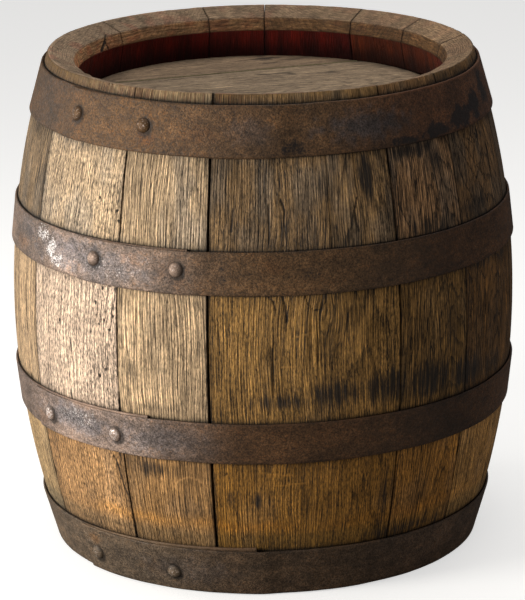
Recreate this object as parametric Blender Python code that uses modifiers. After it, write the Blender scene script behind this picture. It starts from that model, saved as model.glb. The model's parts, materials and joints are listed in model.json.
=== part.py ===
"""Oak wine barrel: staves held by four riveted hoops, two jointed heads and a bung.

Metres, +Z up. The barrel stands on its lower chime, and the origin is the centre of its foot.
Angles round the barrel start at its front, the -Y side, and grow towards +X.
"""

from math import acos, ceil, cos, degrees, pi, radians, sin, sqrt

import bmesh
import bpy
from mathutils import Matrix

HEIGHT = 0.430
BILGE_RADIUS = 0.2175
END_RADIUS = 0.1825
MIDDLE = HEIGHT / 2

# Staves: 26 mm thick at the bilge and thicker under the heads, where the croze is cut.
BILGE_THICK = 0.026
CROZE_THICK = 0.032
OUTER_STEPS = 6
INNER_STEPS = 4
STAVE_STEP_DEG = 5.5

# Each seam between two staves: its angle in degrees and how far it has opened.
SEAMS = (
    (-163.2, 0.0005),
    (-129.2, 0.0005),
    (-96.0, 0.0005),
    (-62.4, 0.0006),
    (-33.9, 0.0012),
    (-12.2, 0.0022),
    (31.2, 0.0010),
    (51.4, 0.0006),
    (77.0, 0.0005),
    (102.5, 0.0005),
    (127.5, 0.0005),
    (149.3, 0.0005),
    (178.6, 0.0005),
)
BUNG_STAVE = 2

# The chime: a narrow flat land at the very end, a shallow bevel inwards, a steep one, then the wall.
LAND_WIDTH = 0.003
SHALLOW_BEVEL = (0.0225, 0.007)
STEEP_BEVEL = (0.0257, 0.018)

# Heads: a disc of boards whose bevelled edge sits in the croze.
HEAD_DEPTH = 0.041
HEAD_THICK = 0.020
TONGUE_THICK = 0.007
TONGUE_RADIUS = 0.1693
BEVEL_RADIUS = 0.155
CROZE_RADIUS = 0.170
CROZE_CLEARANCE = 0.0005
HEAD_STEPS = 72
TOP_SEAMS = (-0.091, -0.018, 0.091)
BOTTOM_SEAMS = (-0.085, 0.012, 0.088)
HEAD_TURN_DEG = 20.0
JOINT_GAP = 0.0016
RUSH_THICK = 0.001
DOWEL_RADIUS = 0.004
DOWEL_LENGTH = 0.060
DOWEL_SPREAD = 0.52
DOWEL_SIDES = 12

# Hoops: each is one strip whose ends lap and are riveted. Degrees run along the strip.
STRIP_THICK = 0.002
HOOP_CLEARANCE = 0.0005
LAP_GAP = 0.0003
LAP_RELIEF_DEG = 1.0
LAP_RAMP_DEG = 6.5
STRIP_STEP_DEG = 4.5
HOOPS = {
    "top_chime": {
        "edges": (0.3806, 0.4220), "outer_end": -55.0, "inner_end": 2.0, "skew": -0.0010,
        "rivets": (-50.8, -29.3), "rivet_drop": 0.0,
    },
    "top_bilge": {
        "edges": (0.2697, 0.3057), "outer_end": -44.5, "inner_end": -16.8, "skew": 0.0008,
        "rivets": (-39.9, -19.1), "rivet_drop": -0.0020,
    },
    "bottom_bilge": {
        "edges": (0.1251, 0.1607), "outer_end": -62.0, "inner_end": -26.5, "skew": 0.0015,
        "rivets": (-56.2, -34.9), "rivet_drop": 0.0009,
    },
    "bottom_chime": {
        "edges": (0.0012, 0.0430), "outer_end": -52.5, "inner_end": -2.5, "skew": 0.0034,
        "rivets": (-48.2, -23.9), "rivet_drop": 0.0025,
    },
}

# Rivets: a domed head outside, and a shank spread flush inside the strip.
RIVET_HEAD_RADIUS = 0.00565
RIVET_HEAD_HEIGHT = 0.0035
RIVET_SHANK_RADIUS = 0.003
RIVET_SPREAD_RADIUS = 0.004
RIVET_SPREAD_DEPTH = 0.001
RIVET_SEAT_GAP = 0.00015
RIVET_STEPS = 16
DOME_STEPS = 4

# Bung: a tapered plug. Radii are those of its hole at the stave's two faces.
HOLE_OUTER_RADIUS = 0.020
HOLE_INNER_RADIUS = 0.018
BUNG_PROUD = 0.010
BUNG_INSIDE = 0.004
BUNG_CHAMFER = 0.0015
BUNG_STEPS = 32

GAP = 0.0003
CUT_MARGIN = 0.002
SMOOTH_DEG = 30.0

MATERIALS = {
    "oak_stave": ((0.36, 0.20, 0.09), 0.62, 0.0),
    "oak_head": ((0.20, 0.15, 0.11), 0.78, 0.0),
    "hoop_steel": ((0.10, 0.065, 0.045), 0.45, 0.85),
    "rivet_steel": ((0.16, 0.12, 0.09), 0.38, 0.9),
    "oak_dowel": ((0.50, 0.36, 0.20), 0.65, 0.0),
    "dry_rush": ((0.42, 0.36, 0.18), 0.85, 0.0),
    "bung_wood": ((0.48, 0.33, 0.18), 0.60, 0.0),
}


def outer_radius(z):
    """The staves' outer radius: a parabola through the bilge and both ends."""
    return BILGE_RADIUS - (BILGE_RADIUS - END_RADIUS) * ((z - MIDDLE) / MIDDLE) ** 2


def croze_half_width(radius, clearance):
    """Half the height of the head's edge at this radius, with clearance. It narrows outwards."""
    slope = (HEAD_THICK - TONGUE_THICK) / 2 / (TONGUE_RADIUS - BEVEL_RADIUS)
    return TONGUE_THICK / 2 + (CROZE_RADIUS - radius) * slope + clearance


def material(name):
    if name in bpy.data.materials:
        return bpy.data.materials[name]
    colour, roughness, metallic = MATERIALS[name]
    made = bpy.data.materials.new(name)
    made.use_nodes = True
    shader = made.node_tree.nodes["Principled BSDF"]
    shader.inputs["Base Color"].default_value = (*colour, 1.0)
    shader.inputs["Roughness"].default_value = roughness
    shader.inputs["Metallic"].default_value = metallic
    return made


def add_object(name, mesh, collection, material_name=None):
    made = bpy.data.objects.new(name, mesh)
    collection.objects.link(made)
    if material_name:
        mesh.materials.append(material(material_name))
    else:
        made.hide_render = True
        made.display_type = "WIRE"
    return made


def mesh_from(name, bm, smooth=False):
    mesh = bpy.data.meshes.new(name)
    bm.to_mesh(mesh)
    bm.free()
    if smooth:
        mesh.shade_smooth()
        mesh.set_sharp_from_angle(angle=radians(SMOOTH_DEG))
    return mesh


def box_mesh(name, size):
    bm = bmesh.new()
    bmesh.ops.create_cube(bm, size=1.0)
    bmesh.ops.scale(bm, vec=size, verts=bm.verts)
    return mesh_from(name, bm)


def rod_mesh(name, radius, length, segments=DOWEL_SIDES):
    """A cylinder along Z, centred on its origin."""
    bm = bmesh.new()
    bmesh.ops.create_cone(
        bm, cap_ends=True, segments=segments, radius1=radius, radius2=radius, depth=length
    )
    return mesh_from(name, bm, smooth=True)


def profile_mesh(name, points):
    """A chain of edges through (radius, height) points, to be turned about Z."""
    bm = bmesh.new()
    chain = [bm.verts.new((radius, 0.0, height)) for radius, height in points]
    for start, end in zip(chain, chain[1:]):
        bm.edges.new((start, end))
    return mesh_from(name, bm)


def turn(target, steps):
    """Turns the object's profile once round its own Z."""
    screw = target.modifiers.new("Turn", "SCREW")
    screw.steps = steps
    screw.render_steps = steps
    screw.use_merge_vertices = True
    screw.merge_threshold = 0.00001
    screw.use_smooth_shade = True


def combine(target, cutter, operation="DIFFERENCE"):
    cut = target.modifiers.new(cutter.name, "BOOLEAN")
    cut.operation = operation
    cut.solver = "EXACT"
    cut.object = cutter


def aim_outwards(target, angle, climb=0.0):
    """Points the object's Z away from the barrel's axis at this angle, climbing by climb."""
    target.rotation_euler = (pi / 2 - climb, 0.0, angle)


def place_on_barrel(target, radius, angle, z):
    target.location = (radius * sin(angle), -radius * cos(angle), z)


def upper_section():
    """(radius, height above the middle) of a stave, from its outer face over the chime to its inside."""
    outside = [MIDDLE * i / OUTER_STEPS for i in range(OUTER_STEPS + 1)]
    points = [(outer_radius(MIDDLE + rise), rise) for rise in outside]
    points.append((END_RADIUS - LAND_WIDTH, MIDDLE))
    for inset, drop in (SHALLOW_BEVEL, STEEP_BEVEL):
        points.append((END_RADIUS - inset, MIDDLE - drop))

    groove = MIDDLE - HEAD_DEPTH - HEAD_THICK / 2
    upper_lip = outer_radius(MIDDLE + groove) - CROZE_THICK - LAND_WIDTH
    lower_lip = outer_radius(MIDDLE + groove) - CROZE_THICK
    points.append((upper_lip, groove + croze_half_width(upper_lip, CROZE_CLEARANCE)))
    points.append((CROZE_RADIUS, groove + croze_half_width(CROZE_RADIUS, CROZE_CLEARANCE)))
    points.append((CROZE_RADIUS, groove - croze_half_width(CROZE_RADIUS, CROZE_CLEARANCE)))
    points.append((lower_lip, groove - croze_half_width(lower_lip, CROZE_CLEARANCE)))

    top = points[-1][1]
    thick_below_croze = outer_radius(MIDDLE + top) - lower_lip
    for i in reversed(range(INNER_STEPS)):
        share = i / INNER_STEPS
        thick = BILGE_THICK + (thick_below_croze - BILGE_THICK) * share ** 2
        points.append((outer_radius(MIDDLE + top * share) - thick, top * share))
    return points


def stave_section():
    upper = upper_section()
    lower = [(radius, -rise) for radius, rise in reversed(upper[1:-1])]
    return upper + lower


def build_stave(number, start, end, collection):
    """One stave: its section swept from one seam to the next, each (angle in degrees, opening)."""
    first = radians(start[0]) + start[1] / 2 / BILGE_RADIUS
    last = radians(end[0]) - end[1] / 2 / BILGE_RADIUS
    width = last - first
    bm = bmesh.new()
    outline = [bm.verts.new((0.0, -radius, MIDDLE + rise)) for radius, rise in stave_section()]
    section = bm.faces.new(outline)
    bmesh.ops.rotate(bm, verts=bm.verts, cent=(0, 0, 0), matrix=Matrix.Rotation(-width / 2, 3, "Z"))
    bmesh.ops.spin(
        bm, geom=[section, *section.edges, *section.verts], cent=(0, 0, 0), axis=(0, 0, 1),
        angle=width, steps=ceil(degrees(width) / STAVE_STEP_DEG),
    )
    bmesh.ops.recalc_face_normals(bm, faces=bm.faces)
    name = f"stave_{number:02d}"
    stave = add_object(name, mesh_from(name, bm, smooth=True), collection, "oak_stave")
    stave.rotation_euler.z = (first + last) / 2
    return stave


def build_staves(collection):
    staves = []
    for i, seam in enumerate(SEAMS):
        after = SEAMS[(i + 1) % len(SEAMS)]
        if after[0] < seam[0]:
            after = (after[0] + 360.0, after[1])
        staves.append(build_stave(i + 1, seam, after, collection))
    return staves


def hoop_line(hoop, height):
    """Radius of a hoop's inner face at a height on it: a cone laid on the staves."""
    low, high = hoop["edges"]
    share = (height - low) / (high - low)
    radius = outer_radius(low) * (1 - share) + outer_radius(high) * share
    return radius + HOOP_CLEARANCE


def evenly(start, end):
    """The degrees after start, up to end, in equal steps."""
    count = ceil((end - start) / STRIP_STEP_DEG)
    return [start + (end - start) * (i + 1) / count for i in range(count)]


def strip_stations(hoop):
    """Degrees along a strip from its outer end to its covered end. Both layers of the lap share theirs."""
    outer_end, inner_end = hoop["outer_end"], hoop["inner_end"]
    ramp_start = inner_end + LAP_RELIEF_DEG
    ramp_end = ramp_start + LAP_RAMP_DEG
    stations = [outer_end, *evenly(outer_end, inner_end), ramp_start, *evenly(ramp_start, ramp_end)]
    stations += evenly(ramp_end, outer_end + 360.0)
    stations += evenly(outer_end + 360.0, inner_end + 360.0)
    return stations


def strip_place(hoop, degree):
    """(lift, axial shift) of a strip at a degree along it: it starts as the outer layer of the lap,
    ramps down to the wood past the covered end, and comes round to end under itself."""
    ramped = (degree - hoop["inner_end"] - LAP_RELIEF_DEG) / LAP_RAMP_DEG
    share = min(max(ramped, 0.0), 1.0)
    lift = (STRIP_THICK + LAP_GAP) * (1 - share)
    covered = (degree - hoop["outer_end"] - 360.0) / (hoop["inner_end"] - hoop["outer_end"])
    return lift, hoop["skew"] * max(covered, 0.0)


def build_hoop(name, hoop, collection):
    """A riveted hoop: an open conical strip given its thickness by Solidify."""
    bm = bmesh.new()
    rows = []
    for degree in strip_stations(hoop):
        lift, shift = strip_place(hoop, degree)
        angle = radians(degree)
        row = []
        for edge in hoop["edges"]:
            height = edge + shift
            radius = hoop_line(hoop, height) + lift
            row.append(bm.verts.new((radius * sin(angle), -radius * cos(angle), height)))
        rows.append(row)
    for (low, high), (next_low, next_high) in zip(rows, rows[1:]):
        bm.faces.new((low, next_low, next_high, high))
    strip = add_object(f"hoop_{name}", mesh_from(name, bm, smooth=True), collection, "hoop_steel")
    thicken = strip.modifiers.new("Thickness", "SOLIDIFY")
    thicken.thickness = STRIP_THICK
    thicken.offset = 1.0
    return strip


def rivet_seat(hoop):
    """(height, radius of the strip's outer face, climb of its normal, stack of both layers)."""
    low, high = hoop["edges"]
    height = (low + high) / 2 - hoop["rivet_drop"]
    slope = (hoop_line(hoop, high) - hoop_line(hoop, low)) / (high - low)
    run = sqrt(1 + slope ** 2)
    stack = (STRIP_THICK + LAP_GAP) / run + STRIP_THICK
    climb = acos(1 / run) * (-1 if slope > 0 else 1)
    return height, hoop_line(hoop, height), climb, stack


def rivet_profile(stack):
    """From the top of the dome down to the spread end of the shank. The origin is the seat."""
    dome_radius = (RIVET_HEAD_RADIUS ** 2 + RIVET_HEAD_HEIGHT ** 2) / 2 / RIVET_HEAD_HEIGHT
    reach = acos((dome_radius - RIVET_HEAD_HEIGHT) / dome_radius)
    points = []
    for i in range(DOME_STEPS + 1):
        lean = reach * i / DOME_STEPS
        height = RIVET_HEAD_HEIGHT - dome_radius * (1 - cos(lean)) + RIVET_SEAT_GAP
        points.append((dome_radius * sin(lean), height))
    points.append((RIVET_SHANK_RADIUS, RIVET_SEAT_GAP))
    points.append((RIVET_SHANK_RADIUS, RIVET_SPREAD_DEPTH - stack))
    points.append((RIVET_SPREAD_RADIUS, -stack))
    points.append((0.0, -stack))
    return points


def rivet_hole_profile(stack):
    """The rivet's shank and spread end with room round them, past both faces of the lap."""
    return [
        (0.0, CUT_MARGIN),
        (RIVET_SHANK_RADIUS + GAP, CUT_MARGIN),
        (RIVET_SHANK_RADIUS + GAP, RIVET_SPREAD_DEPTH - stack),
        (RIVET_SPREAD_RADIUS + GAP, -stack),
        (RIVET_SPREAD_RADIUS + GAP, -stack - CUT_MARGIN),
        (0.0, -stack - CUT_MARGIN),
    ]


def build_rivets(name, hoop, strip, collection, cutters):
    height, radius, climb, stack = rivet_seat(hoop)
    shared = profile_mesh(f"rivet_{name}", rivet_profile(stack))
    for i, degree in enumerate(hoop["rivets"]):
        angle = radians(degree)
        rivet = add_object(f"rivet_{name}_{i + 1}", shared.copy(), collection, "rivet_steel")
        hole = add_object(
            f"rivet_hole_{name}_{i + 1}", profile_mesh("rivet_hole", rivet_hole_profile(stack)), cutters
        )
        for piece in (rivet, hole):
            place_on_barrel(piece, radius + stack * cos(climb), angle, height + stack * sin(climb))
            aim_outwards(piece, angle, climb)
            turn(piece, RIVET_STEPS)
        combine(strip, hole)
    bpy.data.meshes.remove(shared)


def build_hoops(collection, cutters):
    for name, hoop in HOOPS.items():
        strip = build_hoop(name, hoop, collection)
        build_rivets(name, hoop, strip, collection, cutters)


def head_profile():
    """Half of a head's section, from its outer face's centre round the tongue to the inner face."""
    upper_tongue = (TONGUE_THICK - HEAD_THICK) / 2
    lower_tongue = upper_tongue - TONGUE_THICK
    return [
        (0.0, 0.0),
        (BEVEL_RADIUS, 0.0),
        (TONGUE_RADIUS, upper_tongue),
        (TONGUE_RADIUS, lower_tongue),
        (BEVEL_RADIUS, -HEAD_THICK),
        (0.0, -HEAD_THICK),
    ]


def dowel_places(seam):
    """Where the two dowels of a joint cross it, measured along the seam."""
    half_length = sqrt(BEVEL_RADIUS ** 2 - seam ** 2)
    return (-DOWEL_SPREAD * half_length, DOWEL_SPREAD * half_length)


def build_joint(head, number, seam, frame, collection, cutters):
    """One joint between two head boards: two dowels and the strip of rush. Returns the hole cutters."""
    half_length = sqrt(BEVEL_RADIUS ** 2 - seam ** 2)
    holes = []
    for i, along in enumerate(dowel_places(seam)):
        name = f"{head}_dowel_{number}{'ab'[i]}"
        dowel = add_object(name, rod_mesh(name, DOWEL_RADIUS, DOWEL_LENGTH), collection, "oak_dowel")
        hole_mesh = rod_mesh("dowel_hole", DOWEL_RADIUS + GAP, DOWEL_LENGTH + 2 * GAP)
        hole = add_object(f"{head}_dowel_hole_{number}{'ab'[i]}", hole_mesh, cutters)
        for piece in (dowel, hole):
            piece.parent = frame
            piece.location = (along, seam, -HEAD_THICK / 2)
            piece.rotation_euler = (pi / 2, 0.0, 0.0)
        holes.append(hole)
    name = f"{head}_rush_{number}"
    size = (2 * half_length - 2 * GAP, RUSH_THICK, HEAD_THICK - 2 * GAP)
    rush = add_object(name, box_mesh(name, size), collection, "dry_rush")
    rush.parent = frame
    rush.location = (0.0, seam, -HEAD_THICK / 2)
    for hole in holes:
        combine(rush, hole)
    return holes


def build_board(head, number, near, far, holes, frame, collection, cutters):
    """One head board: the turned disc between two lines, with dowel holes in its edges."""
    name = f"{head}_board_{number}"
    board = add_object(name, profile_mesh(name, head_profile()), collection, "oak_head")
    board.parent = frame
    turn(board, HEAD_STEPS)
    size = (2 * TONGUE_RADIUS + CUT_MARGIN, far - near, HEAD_THICK + CUT_MARGIN)
    slot = add_object(f"{head}_board_slot_{number}", box_mesh("board_slot", size), cutters)
    slot.parent = frame
    slot.location = (0.0, (near + far) / 2, -HEAD_THICK / 2)
    combine(board, slot, "INTERSECT")
    for hole in holes:
        combine(board, hole)


def build_head(head, seams, location, rotation, collection, cutters):
    """A head's boards, dowels and rush, under an empty at the centre of its outer face."""
    frame = bpy.data.objects.new(f"{head}_frame", None)
    collection.objects.link(frame)
    frame.location = location
    frame.rotation_euler = rotation
    joints = [
        build_joint(head, i + 1, seam, frame, collection, cutters) for i, seam in enumerate(seams)
    ]
    edge = TONGUE_RADIUS + CUT_MARGIN
    nears = [-edge] + [seam + JOINT_GAP / 2 for seam in seams]
    fars = [seam - JOINT_GAP / 2 for seam in seams] + [edge]
    for i, (near, far) in enumerate(zip(nears, fars)):
        holes = [hole for joint in joints[max(i - 1, 0):i + 1] for hole in joint]
        build_board(head, i + 1, near, far, holes, frame, collection, cutters)


def hole_radius(depth):
    """The bung hole's radius at a depth below the stave's outer face."""
    return HOLE_OUTER_RADIUS - (HOLE_OUTER_RADIUS - HOLE_INNER_RADIUS) * depth / BILGE_THICK


def bung_profile():
    """From the centre of the outer end down to the centre of the inner end."""
    bottom = BILGE_THICK + BUNG_INSIDE
    head_radius = hole_radius(-BUNG_PROUD) - GAP
    foot_radius = hole_radius(bottom) - GAP
    return [
        (0.0, BUNG_PROUD),
        (head_radius - BUNG_CHAMFER, BUNG_PROUD),
        (head_radius, BUNG_PROUD - BUNG_CHAMFER),
        (foot_radius, BUNG_CHAMFER - bottom),
        (foot_radius - BUNG_CHAMFER, -bottom),
        (0.0, -bottom),
    ]


def bung_hole_profile():
    above = 2 * BUNG_PROUD
    below = 2 * BILGE_THICK
    return [
        (0.0, above),
        (hole_radius(-above), above),
        (hole_radius(below), -below),
        (0.0, -below),
    ]


def build_bung(stave, collection, cutters):
    """The bung, whose origin and Z are its pull, and its hole in the middle of this stave."""
    angle = stave.rotation_euler.z
    bung = add_object("bung", profile_mesh("bung", bung_profile()), collection, "bung_wood")
    hole = add_object("bung_hole", profile_mesh("bung_hole", bung_hole_profile()), cutters)
    for piece in (bung, hole):
        place_on_barrel(piece, BILGE_RADIUS, angle, MIDDLE)
        aim_outwards(piece, angle)
        turn(piece, BUNG_STEPS)
    combine(stave, hole)


def new_collection(name):
    made = bpy.data.collections.new(name)
    bpy.context.scene.collection.children.link(made)
    return made


def main():
    for old in list(bpy.data.objects):
        bpy.data.objects.remove(old, do_unlink=True)
    barrel = new_collection("oak_wine_barrel")
    cutters = new_collection("cutters")
    staves = build_staves(barrel)
    build_hoops(barrel, cutters)
    turn_angle = radians(HEAD_TURN_DEG)
    build_head("top_head", TOP_SEAMS, (0, 0, HEIGHT - HEAD_DEPTH), (0, 0, turn_angle), barrel, cutters)
    build_head("bottom_head", BOTTOM_SEAMS, (0, 0, HEAD_DEPTH), (pi, 0, turn_angle), barrel, cutters)
    build_bung(staves[BUNG_STAVE - 1], barrel, cutters)


main()
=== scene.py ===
"""Looks of the oak wine barrel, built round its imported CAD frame.

Metres, +Z up, in the frame's own place. Angles round the barrel start at its front (-Y) and grow
towards +X. Each visible piece is a dense mesh shaped by seeded noise, with a node material that
reads the wood's own coordinates from the mesh.
"""

import json
from math import atan2, ceil, cos, pi, radians, sin, sqrt
from types import SimpleNamespace

import bpy
import numpy as np
from mathutils import Euler, Matrix, Vector


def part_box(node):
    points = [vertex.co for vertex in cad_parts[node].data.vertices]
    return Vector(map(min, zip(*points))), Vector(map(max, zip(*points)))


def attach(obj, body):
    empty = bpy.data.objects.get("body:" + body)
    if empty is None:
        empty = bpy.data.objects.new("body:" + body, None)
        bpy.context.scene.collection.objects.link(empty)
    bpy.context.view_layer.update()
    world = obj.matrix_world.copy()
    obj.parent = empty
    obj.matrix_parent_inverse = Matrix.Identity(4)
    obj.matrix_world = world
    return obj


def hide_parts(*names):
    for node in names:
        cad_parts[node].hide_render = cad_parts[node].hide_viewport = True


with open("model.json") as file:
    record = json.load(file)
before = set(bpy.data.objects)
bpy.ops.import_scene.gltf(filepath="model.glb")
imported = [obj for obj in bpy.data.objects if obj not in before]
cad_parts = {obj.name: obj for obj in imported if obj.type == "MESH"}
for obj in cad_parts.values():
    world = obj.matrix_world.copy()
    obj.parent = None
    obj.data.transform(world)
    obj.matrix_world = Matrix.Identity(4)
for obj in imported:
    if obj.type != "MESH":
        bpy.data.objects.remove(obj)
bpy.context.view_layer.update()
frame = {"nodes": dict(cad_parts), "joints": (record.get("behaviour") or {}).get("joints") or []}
MM = 0.001
EDGE_ANGLE = radians(40.0)

# ---------------------------------------------------------------- the barrel's form, from the frame


def node_points(name):
    mesh = frame["nodes"][name].data
    flat = np.empty(len(mesh.vertices) * 3, np.float32)
    mesh.vertices.foreach_get("co", flat)
    return flat.reshape(-1, 3).astype(float)


STAVES = sorted(name for name in frame["nodes"] if name.startswith("stave"))
STAVE_POINTS = {name: node_points(name) for name in STAVES}
ALL_POINTS = np.concatenate(list(STAVE_POINTS.values()))
ALL_RADII = np.hypot(ALL_POINTS[:, 0], ALL_POINTS[:, 1])
HEIGHT = ALL_POINTS[:, 2].max()
MIDDLE = HEIGHT / 2
BILGE_RADIUS = ALL_RADII.max()
END_RADIUS = ALL_RADII[ALL_POINTS[:, 2] > HEIGHT - 0.1 * MM].max()
HEAD_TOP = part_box("top_head_board_1")[1][2]
HEAD_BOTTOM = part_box("top_head_board_1")[0][2]

# Stave section: end bevels as (inset, drop) from the rim, and the croze that holds the head.
LAND_WIDTH = 3.0 * MM
SHALLOW_BEVEL = (22.5 * MM, 7.0 * MM)
STEEP_BEVEL = (25.7 * MM, 18.0 * MM)
BILGE_THICK = 26.0 * MM
CROZE_THICK = 32.0 * MM
CROZE_RADIUS = 170.0 * MM

# Heights in mm and angles in degrees, as the CAD's hoops have them.
HOOPS = {
    "top_chime": {"edges": (380.6, 422.0), "ends": (-55.0, 2.0), "skew": -1.0,
                  "rivets": (-50.8, -29.3), "rivet_drop": 0.0},
    "top_bilge": {"edges": (269.7, 305.7), "ends": (-44.5, -16.8), "skew": 0.8,
                  "rivets": (-39.9, -19.1), "rivet_drop": -2.0},
    "bottom_bilge": {"edges": (125.1, 160.7), "ends": (-62.0, -26.5), "skew": 1.5,
                     "rivets": (-56.2, -34.9), "rivet_drop": 0.9},
    "bottom_chime": {"edges": (1.2, 43.0), "ends": (-52.5, -2.5), "skew": 3.4,
                     "rivets": (-48.2, -23.9), "rivet_drop": 2.5},
}


def outer_radius(z):
    return BILGE_RADIUS - (BILGE_RADIUS - END_RADIUS) * ((z - MIDDLE) / MIDDLE) ** 2


def stave_span(name):
    """The stave's first and last angle, from its CAD corners."""
    points = STAVE_POINTS[name]
    centre = atan2(points[:, 0].mean(), -points[:, 1].mean())
    turned = np.arctan2(points[:, 0], -points[:, 1]) - centre
    turned = (turned + pi) % (2 * pi) - pi
    return centre + turned.min(), centre + turned.max()


# ---------------------------------------------------------------- seeded noise and mesh helpers


def smooth(low, high, value):
    """0 below low, 1 above high, and a smooth step between."""
    share = np.clip((value - low) / (high - low), 0.0, 1.0)
    return share * share * (3 - 2 * share)


def lattice(xi, yi, seed):
    mixed = (xi * 374761393 + yi * 668265263 + seed * 974634777) & 0xFFFFFFFF
    mixed = ((mixed ^ (mixed >> 13)) * 1274126177) & 0xFFFFFFFF
    mixed = ((mixed ^ (mixed >> 16)) * 2246822519) & 0xFFFFFFFF
    return ((mixed ^ (mixed >> 15)) & 0xFFFFFF) / 0x7FFFFF - 1.0


def noise(x, y, seed):
    """Smooth value noise between -1 and 1 on a unit lattice."""
    x, y = np.broadcast_arrays(np.asarray(x, float), np.asarray(y, float))
    xi, yi = np.floor(x).astype(np.int64), np.floor(y).astype(np.int64)
    fx, fy = x - xi, y - yi
    sx, sy = fx * fx * (3 - 2 * fx), fy * fy * (3 - 2 * fy)
    low = lattice(xi, yi, seed) * (1 - sx) + lattice(xi + 1, yi, seed) * sx
    high = lattice(xi, yi + 1, seed) * (1 - sx) + lattice(xi + 1, yi + 1, seed) * sx
    return low * (1 - sy) + high * sy


def fractal(x, y, seed, octaves=4):
    total, weight, size = 0.0, 1.0, 0.0
    for octave in range(octaves):
        total = total + weight * noise(x * 2 ** octave, y * 2 ** octave, seed + 17 * octave)
        size += weight
        weight *= 0.5
    return total / size


def linear(red, green, blue):
    """A linear colour from the usual 0 to 255 values."""
    values = np.array([red, green, blue]) / 255.0
    return np.where(values <= 0.04045, values / 12.92, ((values + 0.055) / 1.055) ** 2.4)


def signed_degrees(angle):
    """The same angle between -180 and 180."""
    return (angle + 180.0) % 360.0 - 180.0


def blended(tone, share, other):
    """tone moved towards another colour by a share per point."""
    return tone * (1 - share) + other * share


def mesh_object(name, points, faces, material, attributes):
    """A mesh from points and a list of face index arrays, with per-point attributes."""
    mesh = bpy.data.meshes.new(name)
    points = np.asarray(points, np.float32).reshape(-1, 3)
    corners = np.concatenate([face.reshape(-1) for face in faces])
    sizes = np.concatenate([
        np.full(len(face), face.shape[1]) if face.ndim == 2 else [len(face)] for face in faces
    ])
    mesh.vertices.add(len(points))
    mesh.vertices.foreach_set("co", points.reshape(-1))
    mesh.loops.add(len(corners))
    mesh.loops.foreach_set("vertex_index", corners.astype(np.int32))
    mesh.polygons.add(len(sizes))
    starts = np.concatenate([[0], np.cumsum(sizes)[:-1]])
    mesh.polygons.foreach_set("loop_start", starts.astype(np.int32))
    mesh.update(calc_edges=True)
    for key, values in attributes.items():
        flat = np.asarray(values, np.float32).reshape(-1)
        flat = np.ascontiguousarray(np.broadcast_to(flat, max(len(flat), len(points))))
        is_vector = len(flat) == 3 * len(points)
        stored = mesh.attributes.new(key, "FLOAT_VECTOR" if is_vector else "FLOAT", "POINT")
        stored.data.foreach_set("vector" if is_vector else "value", flat)
    mesh.shade_smooth()
    mesh.set_sharp_from_angle(angle=EDGE_ANGLE)
    mesh.materials.append(material)
    made = bpy.data.objects.new(name, mesh)
    bpy.context.scene.collection.objects.link(made)
    return made


def tube_faces(rows, columns, flip=False):
    """Quads and both end faces of closed outlines of so many rows, one outline to a column."""
    column, row = np.meshgrid(np.arange(columns - 1), np.arange(rows), indexing="ij")
    column, row = column.reshape(-1), row.reshape(-1)
    after = (row + 1) % rows
    quads = np.stack([
        column * rows + row, (column + 1) * rows + row,
        (column + 1) * rows + after, column * rows + after,
    ], axis=1)
    first = np.arange(rows)
    faces = [quads, first, first[::-1] + (columns - 1) * rows]
    return [face[..., ::-1] for face in faces] if flip else faces


def turned_points(profile, sides):
    """A profile of radius and height turned round +Z, with one ring of points to each entry."""
    angles = np.linspace(0, 2 * pi, sides, endpoint=False)
    return np.array([(r * cos(a), r * sin(a), h) for r, h in profile for a in angles])


def stepped(start, end, step, fine):
    """Evenly spaced values from start to end, with extra ones at fine distances from both ends."""
    inner = max(fine)
    count = max(2, ceil((end - start - 2 * inner) / step))
    middle = np.linspace(start + inner, end - inner, count + 1)
    return np.unique(np.concatenate([
        [start, end], middle, [start + d for d in fine], [end - d for d in fine],
    ]).round(7))


# ---------------------------------------------------------------- node material helpers


class Value:
    """A node's output, whose sums and products add math nodes to its tree."""

    def __init__(self, nodes, socket):
        self.nodes = nodes
        self.socket = socket

    def __add__(self, other):
        return self.nodes.math("ADD", self, other)

    def __mul__(self, other):
        return self.nodes.math("MULTIPLY", self, other)

    def __sub__(self, other):
        return self.nodes.math("SUBTRACT", self, other)

    def __rsub__(self, other):
        return self.nodes.math("SUBTRACT", other, self)

    __radd__ = __add__
    __rmul__ = __mul__

    def spread(self, low, high, to_low=0.0, to_high=1.0):
        """Maps low..high to to_low..to_high, held at both ends."""
        inputs = dict(enumerate((self, low, high, to_low, to_high)))
        return self.nodes.add("MapRange", inputs, clamp=True)


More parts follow.
